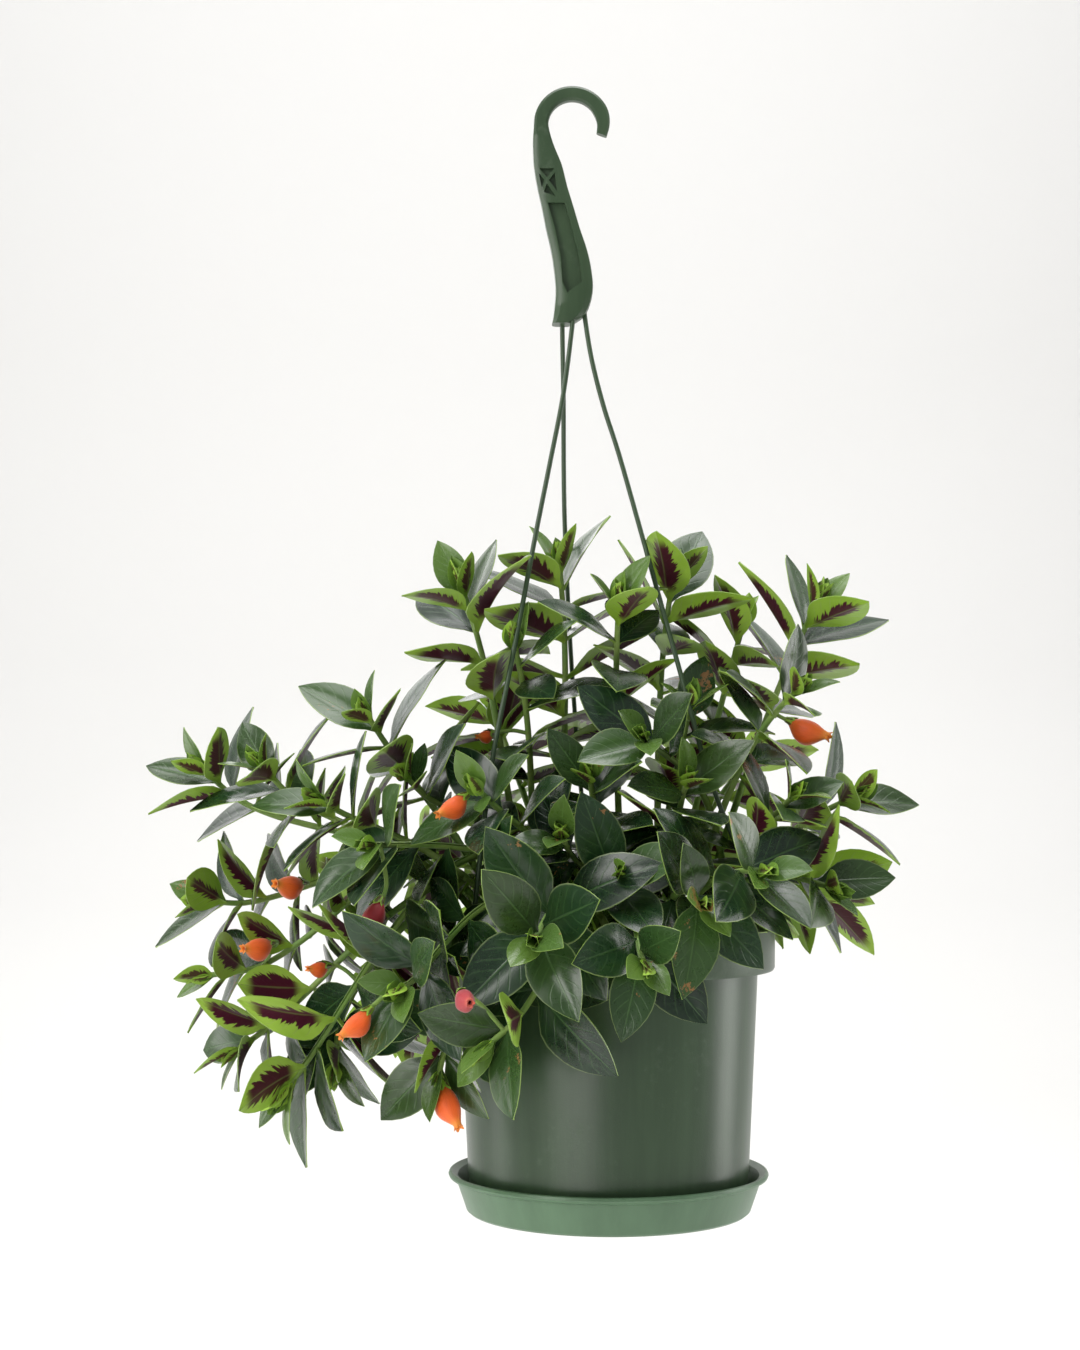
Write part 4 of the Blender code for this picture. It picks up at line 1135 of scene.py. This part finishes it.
def handle_rings():
    """The sections of the handle and hook, smoothed along its length, each as a rounded outline."""
    places, sizes, ways = [], [], []
    for place, wide, deep, across in handle_sections():
        places.append(place)
        sizes.append(Vector((wide, deep, 0.0)))
        ways.append(across)
    rings = []
    for place, size, across in zip(*(smooth_line(values, SPAN_PARTS) for values in (places, sizes, ways))):
        across = across.normalized()
        ring = []
        for k in range(HANDLE_SIDES):
            turn = 2.0 * math.pi * (k + 0.5) / HANDLE_SIDES
            a, b = math.cos(turn), math.sin(turn)
            square = 1.0 / max(abs(a), abs(b)) ** 0.75
            deep = Vector((0.0, b * square * size.y * 0.5, 0.0))
            ring.append(place + across * (a * square * size.x * 0.5) + deep)
        rings.append(ring)
    return rings


grip_shape = bmesh.new()
drawn(grip_shape, handle_rings())
bmesh.ops.recalc_face_normals(grip_shape, faces=grip_shape.faces)
handle = finished("hanger_grip", grip_shape, (hanger_finish,), ["hanger_handle"], 34.0)
print("handle", len(handle.data.polygons), "faces")

# %% Pockets between the ribs
CORES = ((-12.0, -1.3), (1.3, 12.0))    # each core's y from and to, mm; a web stays between the two
pocket_cores = cutter_set("pocket_cores")
for number, outline in enumerate(POCKETS):
    for face_side, (near, far) in enumerate(CORES):
        core = bmesh.new()
        core.faces.new([core.verts.new(spot((x, near, z))) for x, z in outline])
        pushed = bmesh.ops.extrude_face_region(core, geom=core.faces[:])["geom"]
        moved = [part for part in pushed if isinstance(part, bmesh.types.BMVert)]
        bmesh.ops.translate(core, verts=moved, vec=(0.0, (far - near) * MM, 0.0))
        bmesh.ops.recalc_face_normals(core, faces=core.faces)
        core_mesh = as_mesh(f"core_{number}_{face_side}", core)
        pocket_cores.objects.link(bpy.data.objects.new(core_mesh.name, core_mesh))
carved(handle, pocket_cores)
rounded(handle, 0.25)
print("handle with pockets", len(handle.data.polygons), "faces")

# %% [markdown]
# Three thin strands run from the handle to the rim, pass through its ledge and end in a small cross bar
# below it. They are stiff mouldings, so each is drawn along its own gently bowed line.

# %% Strands
def round_rings(line, radii, sides):
    """Rings of places about a line, carried along without twist."""
    rings, up = [], Vector((0.0, 1.0, 0.15)).normalized()
    for i, point in enumerate(line):
        ahead = (line[min(i + 1, len(line) - 1)] - line[max(i - 1, 0)]).normalized()
        side, up = frame_of(ahead, up)
        turns = [2.0 * math.pi * k / sides for k in range(sides)]
        rings.append([point + (side * math.cos(turn) + up * math.sin(turn)) * radii[i] for turn in turns])
    return rings


STRAND_PARTS, STRAND_SIDES = 5, 12
WITHIN_FLATS = 0.97         # a round rod as thick as the solid's few flats look
for name in STRANDS:
    line = smooth_line(strand_line(name), STRAND_PARTS)
    rod_shape = bmesh.new()
    drawn(rod_shape, round_rings(line, [STRAND_R * WITHIN_FLATS] * len(line), STRAND_SIDES))
    turn = math.radians(LUG_ANGLES[name])
    bar = bmesh.ops.create_cube(rod_shape, size=1.0)["verts"]
    out = Vector((math.cos(turn), math.sin(turn), 0.0))
    across = Vector((-out.y, out.x, 0.0))
    axes = (out * FOOT_WIDE * MM, across * FOOT_LEN * MM, (0.0, 0.0, FOOT_HIGH * MM))
    fit = Matrix(axes).transposed().to_4x4()
    centre = spot(out * FOOT_R + Vector((0.0, 0.0, RIM_TOP - RIM_WALL - GAP - FOOT_HIGH * 0.5)))
    bmesh.ops.transform(rod_shape, matrix=Matrix.Translation(centre) @ fit, verts=bar)
    bmesh.ops.recalc_face_normals(rod_shape, faces=rod_shape.faces)
    finished("hanger_strand_" + name, rod_shape, (hanger_finish,), ["strand_" + name], 40.0)
print("strands", len(STRANDS))

# %% [markdown]
# Potting mix is peat, bark and a little white perlite. The filling is turned like the pot, its upper face
# is pushed about by noise, and crumbs of bark and perlite are strewn over it, each a small crushed ball.

# %% Potting mix finishes
soil_finish = Finish("peat_and_bark")
fibre = soil_finish.noise(420.0, 6.0, 0.7)
clod = soil_finish.noise(90.0, 4.0, 0.6)
mottle = (fibre * 0.6 + clod * 0.5).ramp(0.35, 0.8)
soil_finish.set(Base_Color=soil_finish.mix(mottle, (0.016, 0.010, 0.006), (0.105, 0.066, 0.040)),
                Roughness=0.93 - clod * 0.1,
                Normal=soil_finish.bump(fibre + clod, 0.8, 0.0012))
perlite_finish = Finish("perlite")
chalk = perlite_finish.mix(perlite_finish.noise(500.0), (0.42, 0.40, 0.36), (0.80, 0.78, 0.73))
perlite_finish.set(Base_Color=chalk, Roughness=0.9)
print("potting mix finishes", len(soil_finish.tree.nodes), "and", len(perlite_finish.tree.nodes), "nodes")

# %% Filling and crumbs
TOP_EDGE = SOIL_TOP - 1.5   # the outline above this is the upper face
top_rows = [(r, z) for r, z in soil_profile() if z > TOP_EDGE]
low_rows = [(r, z) for r, z in soil_profile() if z <= TOP_EDGE]
fine_top = []
for (r0, z0), (r1, z1) in zip(top_rows, top_rows[1:]):
    parts = max(2, int(abs(r0 - r1) / 1.6))
    fine_top += [(r0 + (r1 - r0) * k / parts, z0 + (z1 - z0) * k / parts) for k in range(parts)]
MIX_STEPS = 110
mix_shape = turned(low_rows + fine_top + top_rows[-1:], MIX_STEPS)
for vert in mix_shape.verts:
    if vert.co.z > spot((0.0, 0.0, SOIL_TOP - 1.2)).z:
        vert.co.z += (noise_at(vert.co * 260.0) * 1.0 + noise_at(vert.co * 700.0) * 0.5 - 0.3) * MM
CRUMBS = 620
PERLITE_EVERY = 13          # of these crumbs one is perlite
CRUMB_RING = 62.0           # how far out crumbs lie
CRUMB_SEED = 77
crumbs = random.Random(CRUMB_SEED)
for number in range(CRUMBS):
    size = crumbs.uniform(0.7, 2.3)
    r, turn = CRUMB_RING * math.sqrt(crumbs.random()), crumbs.uniform(0.0, 2.0 * math.pi)
    ball = bmesh.ops.create_icosphere(mix_shape, subdivisions=1, radius=size * MM * 0.6)["verts"]
    for vert in ball:
        vert.co *= crumbs.uniform(0.7, 1.25)
    lie = Matrix.Rotation(crumbs.uniform(0.0, 3.1), 4, "Z") @ Matrix.Diagonal((1.6, 0.9, 0.6, 1.0))
    height = SOIL_TOP + SOIL_CROWN * (1.0 - (r / 64.0) ** 2) + size * 0.1
    move = Matrix.Translation(ring_spot(r, turn, height))
    bmesh.ops.transform(mix_shape, matrix=move @ lie, verts=ball)
    if number % PERLITE_EVERY == 0:
        for face in {face for vert in ball for face in vert.link_faces}:
            face.material_index = 1
potting_mix = finished("potting_mix_top", mix_shape, (soil_finish, perlite_finish), ["potting_mix"],
                       60.0)
print("potting mix", len(potting_mix.data.polygons), "faces")

# %% [markdown]
# A leaf of this plant is thick and waxy, pointed at both ends, folded along its midrib, dark green above and
# pale below with a jagged wine-red blotch. One leaf is modelled with care: a flat grid is given the outline,
# then the whole sheet is extruded once to give it a body. Every leaf of the plant is a bent copy of it.

# %% One leaf to copy
# Share of the length, half width over the widest
OUTLINE = ((0.0, 0.075), (0.05, 0.11), (0.10, 0.27), (0.17, 0.53), (0.26, 0.80), (0.36, 0.96), (0.46, 1.0),
           (0.57, 0.97), (0.68, 0.86), (0.79, 0.66), (0.88, 0.43), (0.95, 0.21), (0.98, 0.10), (1.0, 0.02))
LEAF_ACROSS, LEAF_ALONG = 6, 10         # cells of the grid; the leaf is repeated hundreds of times
UPPER, LOWER, RIM = 0.0, 1.0, 0.5       # what the mark says of a face's side


def read_curve(curve, t):
    """The value at t of a curve given as (place, value) pairs."""
    for (t0, v0), (t1, v1) in zip(curve, curve[1:]):
        if t <= t1:
            share = (t - t0) / (t1 - t0)
            return v0 + (v1 - v0) * share
    return curve[-1][1]


def leaf_sheet():
    """A leaf of length 1 along Y, its width in X, with a map for the finish and a mark for its faces."""
    sheet = bmesh.new()
    bmesh.ops.create_grid(sheet, x_segments=LEAF_ACROSS, y_segments=LEAF_ALONG, size=0.5)
    place_map = sheet.loops.layers.uv.new("leaf_map")
    side_mark = sheet.loops.layers.float_color.new("leaf_side")
    for face in sheet.faces:
        for loop in face.loops:
            loop[place_map].uv = (loop.vert.co.x + 0.5, loop.vert.co.y + 0.5)
            loop[side_mark] = (UPPER, 0.5, 0.0, 1.0)
    for vert in sheet.verts:
        across, t = vert.co.x * 2.0, vert.co.y + 0.5
        half = 0.5 * LEAF_WIDE * read_curve(OUTLINE, t)
        out, swell = abs(across), math.sin(math.pi * t)
        quilt = 0.0045 * math.sin(t * 34.0 - out * 4.0) * math.sin(min(1.0, out * 1.4) * math.pi)
        roll = -0.016 * out ** 3 * swell
        groove = -0.015 * math.exp(-(across / 0.16) ** 2) * swell
        vert.co = Vector((across * half, t, quilt + roll + groove + 0.012 * (1.0 - out) * swell))
    upper = set(sheet.faces)
    pushed = bmesh.ops.extrude_face_region(sheet, geom=list(upper))["geom"]
    lower_faces = [part for part in pushed if isinstance(part, bmesh.types.BMFace)]
    for vert in {vert for face in lower_faces for vert in face.verts}:
        t = vert.co.y
        half = 0.5 * LEAF_WIDE * read_curve(OUTLINE, t) + 1e-6
        across = min(1.0, abs(vert.co.x) / half)
        rib = 0.014 * math.exp(-(across / 0.13) ** 2) * (1.0 - t * 0.7)
        vert.co.z -= 0.008 + 0.018 * (1.0 - across ** 2) * (1.0 - t * 0.6) + rib
    for face in lower_faces:
        for loop in face.loops:
            loop[side_mark] = (LOWER, 0.5, 0.0, 1.0)
    for face in sheet.faces:
        if face not in upper and face not in lower_faces:
            for loop in face.loops:
                loop[side_mark] = (RIM, 0.5, 0.0, 1.0)
    bmesh.ops.recalc_face_normals(sheet, faces=sheet.faces)
    return as_mesh("leaf_pattern", sheet)


leaf_pattern = leaf_sheet()
print("leaf pattern", len(leaf_pattern.polygons), "faces")

# %% [markdown]
# Each leaf of the plant is a copy of that pattern, carried to its place and bent there: it opens along its
# fold from the root on, droops or turns up toward the point, and its margins wave a little.

# %% Laying leaves and stalks
def lay_leaf(shape, base, along, normal, size, droop, fold, tone, young, wave=0.0, turn_up=0.0, wide=1.0):
    """Adds a bent copy of the leaf. base is in mm; tone and young go to the finish through the mark."""
    first = len(shape.verts)
    first_face = len(shape.faces)
    shape.from_mesh(leaf_pattern)
    shape.verts.ensure_lookup_table()
    shape.faces.ensure_lookup_table()
    mark = shape.loops.layers.float_color["leaf_side"]
    side = normal.cross(along).normalized()
    for vert in shape.verts[first:]:
        x, t, z = vert.co
        spread = abs(x) / (0.5 * LEAF_WIDE)
        open_up = min(1.0, t * 4.0)
        rise = z + abs(x) * fold * open_up * 0.92 - droop * t * t + turn_up * t**3
        rise += wave * math.sin(t * 9.0 + (2.0 if x > 0 else 0.0)) * spread * open_up
        vert.co = spot(base + along * (size * t + 0.2) + side * (x * size * wide) + normal * (rise * size))
    for face in shape.faces[first_face:]:
        for loop in face.loops:
            was = loop[mark]
            loop[mark] = (was[0], tone, young, 1.0)


def lay_tube(shape, line, radii, sides):
    """Adds a round stem through the places in mm, as the second finish of its piece."""
    first_face = len(shape.faces)
    drawn(shape, round_rings(line, radii, sides))
    shape.faces.ensure_lookup_table()
    for face in shape.faces[first_face:]:
        face.material_index = 1


print("a leaf's layers", [layer.name for layer in leaf_pattern.uv_layers],
      [layer.name for layer in leaf_pattern.color_attributes])

# %% [markdown]
# The leaf's finish follows its own map: the first number runs across the blade and the second from root to
# point. The distance from the midrib draws the pale rib, which on the upper side is partly a painted highlight
# along its groove, the thin light margin and the ragged edge of the red blotch below. The mark on each face
# says which side it is on, how old the leaf is and its own tone.

# %% Leaf finish
leaf = Finish("waxy_leaf")
across, length_share = leaf.parts(leaf.node("ShaderNodeUVMap", uv_map="leaf_map"))[:2]
below, tone, young = leaf.parts(leaf.node("ShaderNodeAttribute", attribute_name="leaf_side"))
from_rib = abs(across * 2.0 - 1.0)
patches = leaf.noise(38.0, 3.0, 0.6)
fine = leaf.noise(420.0, 4.0, 0.6)
flame = leaf.node("ShaderNodeCombineXYZ", {0: length_share * 21.0 - from_rib * 6.0, 1: tone * 37.0,
                                           2: from_rib * 0.9})
ragged = leaf.noise(1.0, 3.0, 0.6, flame)
vein_wave = ((length_share * 46.0 - from_rib * 13.0) + patches * 5.0).sine()
veins = vein_wave.ramp(0.80, 1.0) * from_rib.ramp(0.03, 0.16) * (1.0 - from_rib.ramp(0.70, 0.92))
rib = 1.0 - from_rib.ramp(0.015, 0.060)
margin = from_rib.ramp(0.93, 0.995)
# The upper side: dark, mottled, with a paler margin and rib (the rib partly its own colour, partly a painted
# highlight in its groove), yellow-green while young, scarred here and there
light_share = (patches * 0.7 + tone * 0.6).ramp(0.35, 0.95)
deep = leaf.mix(light_share, (0.0050, 0.0200, 0.0085), (0.0150, 0.0480, 0.0150))
mottled = leaf.mix(fine.ramp(0.45, 0.75) * 0.35, deep, (0.0260, 0.0680, 0.0220))
above = leaf.mix(veins * 0.25 + rib * 0.55, mottled, (0.0600, 0.1350, 0.0420))
above = leaf.mix(margin * 0.65, above, (0.2300, 0.3000, 0.1300))
above = leaf.mix(young, above, leaf.mix(patches, (0.1200, 0.2500, 0.0300), (0.2500, 0.4100, 0.0750)))
scar = leaf.noise(55.0, 5.0, 0.8)
scarred = (scar * 0.8 + tone * 0.22).ramp(0.690, 0.712)
above = leaf.mix(scarred * 0.8, above, (0.3300, 0.1500, 0.0500))
# The lower side: pale, and brightened further as painted light against the shade below the leaves, with the
# red blotch, which leaves the root, the point and the rib free
pale = leaf.mix((patches + tone * 0.4).ramp(0.4, 0.9), (0.2900, 0.5000, 0.0400), (0.4100, 0.6400, 0.0850))
pale = leaf.mix(veins * 0.25 + rib * 0.7, pale, (0.3300, 0.4300, 0.1500))
blot_half = (ragged - 0.5) * 1.25 + 0.44 + (tone - 0.5) * 0.30
blot = (blot_half - from_rib).ramp(-0.03, 0.05) * length_share.ramp(0.10, 0.24)
blot = blot * (1.0 - length_share.ramp(0.74, 0.92))
blot = blot * (1.0 - rib * 0.25) * (1.0 - young * 0.15)
under = leaf.mix(blot, pale, (0.0700, 0.0045, 0.0200))
colour = leaf.mix(below, above, under)
relief = veins * 0.35 - rib * 0.8 + fine * 0.25 + patches * 0.6
leaf.set(Base_Color=colour,
         Roughness=(patches * 0.14 + fine * 0.08 + 0.17) * (1.0 - below) + below * 0.42 + scarred * 0.2,
         Coat_Weight=(1.0 - below) * 0.24,
         Normal=leaf.bump(relief, 0.35, 0.0005))
leaf.surface.inputs["Coat Roughness"].default_value = 0.18
leaf.surface.inputs["Specular IOR Level"].default_value = 0.45
print("leaf finish", len(leaf.tree.nodes), "nodes")

# %% [markdown]
# The stalks are round and fleshy, green with brown freckles. Two noises of very different size are enough for
# that: the broad one turns one green into the other, the fine one sets the freckles and the relief.

# %% Stem finish
stem_finish = Finish("green_stem")
blush = stem_finish.noise(46.0, 3.0, 0.6)
skin = stem_finish.noise(520.0, 4.0, 0.6)
green_skin = stem_finish.mix(blush.ramp(0.3, 0.75), (0.150, 0.285, 0.050), (0.300, 0.420, 0.100))
stem_finish.set(Base_Color=stem_finish.mix(skin.ramp(0.60, 0.80) * 0.55, green_skin, (0.230, 0.120, 0.045)),
                Roughness=0.42 + skin * 0.2,
                Normal=stem_finish.bump(skin, 0.4, 0.0004))
stem_finish.surface.inputs["Sheen Weight"].default_value = 0.15
print("stem finish", len(stem_finish.tree.nodes), "nodes")

# %% [markdown]
# The stems and leaves stand where the solids stand, because both come from the same growing rule with the
# same seed. Each stem is one piece: a round stalk drawn along its line, its opposite leaves, a few folded
# young leaves at the tip and the stalk and small green calyx of any bloom that it carries.

# %% Grow the plant
clear_shapes = [lathe(pot_profile()), lathe(saucer_profile()), handle_shape()]
clear_shapes += [strand_shape(name) for name in STRANDS] + [foot_shape(name) for name in STRANDS]
plant, blooms = grow_plant(clear_shapes, lathe(soil_profile(), 24))
leaf_count = sum(len(stem["leaves"]) for stem in plant.values())
print("stems", len(plant), "leaves", leaf_count, "blooms", len(blooms))

# %% Young leaves and the calyx
BUD_LEAVES = 4
SEPALS = 5
STALK_SIDES = 10
STALK_R = 0.95              # a bloom's stalk, mm
STALK_END = (1.05, 1.3, 1.55, 1.6)      # and how it swells under the bloom


def cupped(along, heading, away, lean):
    """The upper side of a small leaf that cups toward the line it stands on."""
    inward = (heading * lean - away).normalized()
    return (inward - along * inward.dot(along)).normalized()


def lay_tip(shape, stem, own):
    """Folded young leaves round the end of a stem."""
    tip = stem["line"][-1]
    heading = (tip - stem["line"][-2]).normalized()
    side, up = frame_of(heading, UP)
    for bud in range(BUD_LEAVES):
        turn = own.uniform(0.0, 1.0) + bud * 2.0 * math.pi / BUD_LEAVES
        away = side * math.cos(turn) + up * math.sin(turn)
        along = (heading + away * own.uniform(0.16, 0.30)).normalized()
        lay_leaf(shape, tip - heading * 1.2, along, cupped(along, heading, away, 0.3),
                 stem["size"] * own.uniform(0.26, 0.42), -0.10, 0.75, own.random(), own.uniform(0.75, 1.0))


def lay_stalk(shape, stalk, own):
    """The stalk of a bloom and the small green sepals that hold it."""
    line = smooth_line(stalk, SPAN_PARTS)
    lay_tube(shape, line, [STALK_R] * (len(line) - len(STALK_END)) + list(STALK_END), STALK_SIDES)
    heading = (stalk[-1] - stalk[-2]).normalized()
    side, up = frame_of(heading, UP)
    for sepal in range(SEPALS):
        turn = 2.0 * math.pi * sepal / SEPALS
        away = side * math.cos(turn) + up * math.sin(turn)
        along = (heading * 0.92 + away * 0.50).normalized()
        lay_leaf(shape, stalk[-1] - heading * 1.1 + away * 0.7, along, cupped(along, heading, away, 0.2),
                 own.uniform(6.0, 7.5), -0.16, 0.5, own.random(), 1.0, wide=0.9)


print("young leaves", BUD_LEAVES * len(plant), "sepals", SEPALS * len(blooms))

# %% Dress each stem
DRESS_SEED = 500
for number, (name, stem) in enumerate(plant.items()):
    own = random.Random(DRESS_SEED + number)
    shape = bmesh.new()
    line = smooth_line(stem["line"], SPAN_PARTS)
    radii = [r[0] for r in smooth_line([Vector((r, 0.0, 0.0)) for r in stem["radii"]], SPAN_PARTS)]
    # The first copy of the leaf only brings its map and its mark, so its faces go again
    shape.from_mesh(leaf_pattern)
    bmesh.ops.delete(shape, geom=shape.verts[:], context="VERTS")
    lay_tube(shape, line, radii, STALK_SIDES)
    for blade_row in stem["leaves"]:
        fresh = max(0.0, 0.60 - 0.46 * blade_row["pair"]) * own.uniform(0.4, 1.0)
        lay_leaf(shape, blade_row["base"], blade_row["dir"], blade_row["normal"], blade_row["size"],
                 blade_row["droop"], blade_row["fold"], own.random(), fresh, own.uniform(0.0, 0.012),
                 own.uniform(-0.03, 0.05))
    lay_tip(shape, stem, own)
    for stalk in stem["stalks"]:
        lay_stalk(shape, stalk, own)
    finished("leafy_" + name, shape, (leaf, stem_finish), ["stem_" + name], 52.0)
print("leafy stems dressed")

# %% [markdown]
# A petal is velvety from fine hairs, which the surface's own sheen gives. Its colour warms over the belly,
# pales at the mouth and is faintly streaked. An old bloom has the same finish in a darker red.

# %% Bloom finishes
def petal_finish(name, body, belly, mouth):
    """Fine-haired petal of three colours: its body, its belly and its mouth."""
    look = Finish(name)
    round_share, along_share = look.parts(look.node("ShaderNodeUVMap", uv_map="petal_map"))[:2]
    long_way = look.node("ShaderNodeCombineXYZ", {0: round_share * 4.0, 1: along_share * 0.5, 2: 0.0})
    streak = look.noise(9.0, 4.0, 0.6, long_way)
    down = look.noise(900.0, 3.0, 0.7)
    swell = along_share.ramp(0.10, 0.45) * (1.0 - along_share.ramp(0.55, 0.92))
    base = look.mix(swell * 0.8, body, belly)
    base = look.mix(along_share.ramp(0.80, 0.98) * 0.8, base, mouth)
    look.set(Base_Color=look.mix(streak.ramp(0.45, 0.8) * 0.35, base, tuple(c * 0.55 for c in belly)),
             Roughness=0.42 + down * 0.16,
             Normal=look.bump(down * 0.6 + streak, 0.35, 0.0004))
    look.surface.inputs["Sheen Weight"].default_value = 0.35
    look.surface.inputs["Sheen Roughness"].default_value = 0.4
    return look


orange_finish = petal_finish("orange_petal", (0.90, 0.160, 0.015), (0.86, 0.105, 0.010), (0.95, 0.330, 0.040))
red_finish = petal_finish("ageing_petal", (0.46, 0.034, 0.040), (0.36, 0.018, 0.034), (0.62, 0.110, 0.060))
print("petal finish", len(orange_finish.tree.nodes), "nodes")

# %% [markdown]
# The flower is a soft pouch with a narrow neck, a belly that hangs to one side and a small pinched mouth of
# five lobes. It is drawn ring by ring, then the mouth is turned back inside so the pouch is open.

# %% Blooms
# Share of the length, height over the belly's, for the outside and for the lip turned back inside
FINE_POUCH = ((0.0, 0.19), (0.05, 0.23), (0.11, 0.36), (0.18, 0.55), (0.27, 0.78), (0.36, 0.92), (0.46, 0.99),
              (0.56, 0.98), (0.66, 0.88), (0.75, 0.70), (0.83, 0.52), (0.90, 0.38), (0.95, 0.31), (1.0, 0.33))
LIP = ((1.025, 0.40), (1.0, 0.22), (0.93, 0.18), (0.84, 0.24), (0.74, 0.30))
LIP_EDGE = len(FINE_POUCH)              # the ring at which the petal turns inside
POUCH_SIDES = 30
LOBES = 5


def bloom_shape(base, along, length):
    """The open pouch, with a map that runs from the neck to the mouth."""
    shape = bmesh.new()
    side, up = frame_of(along, UP)
    belly = length * BLOOM_BELLY
    rings = []
    for step, (t, wide) in enumerate(FINE_POUCH + LIP):
        middle = pouch_middle(base, along, up, length, t)
        ring = []
        for k in range(POUCH_SIDES):
            turn = 2.0 * math.pi * k / POUCH_SIDES
            wave = math.cos(LOBES * turn)
            seam = 1.0 + 0.030 * wave * math.sin(math.pi * min(1.0, t))
            lobe = 1.0 + (0.16 * wave if step in (LIP_EDGE - 1, LIP_EDGE) else 0.0)
            out = side * math.cos(turn) * BLOOM_FLAT + up * math.sin(turn)
            place = middle + out * (belly * wide * seam * lobe)
            if step == LIP_EDGE:
                place += along * (0.5 * wave)
            ring.append(place)
        rings.append(ring)
    drawn(shape, rings)
    bmesh.ops.recalc_face_normals(shape, faces=shape.faces)
    petal_map = shape.loops.layers.uv.new("petal_map")
    origin = spot(base)
    for face in shape.faces:
        for loop in face.loops:
            ray = (loop.vert.co - origin) / MM
            share = ray.dot(along) / length
            turn = math.atan2(ray.dot(up), ray.dot(side))
            loop[petal_map].uv = (abs(turn) / math.pi, share)
    return shape


for name, bloom in blooms.items():
    old = name.endswith("old")
    petal, slot_name = (red_finish, "bloom_red") if old else (orange_finish, "bloom_orange")
    pouch_mesh = bloom_shape(bloom["base"], bloom["dir"], bloom["length"])
    finished("flower_" + name, pouch_mesh, (petal,), ["bloom_" + name], 60.0)
print("blooms", len(blooms))
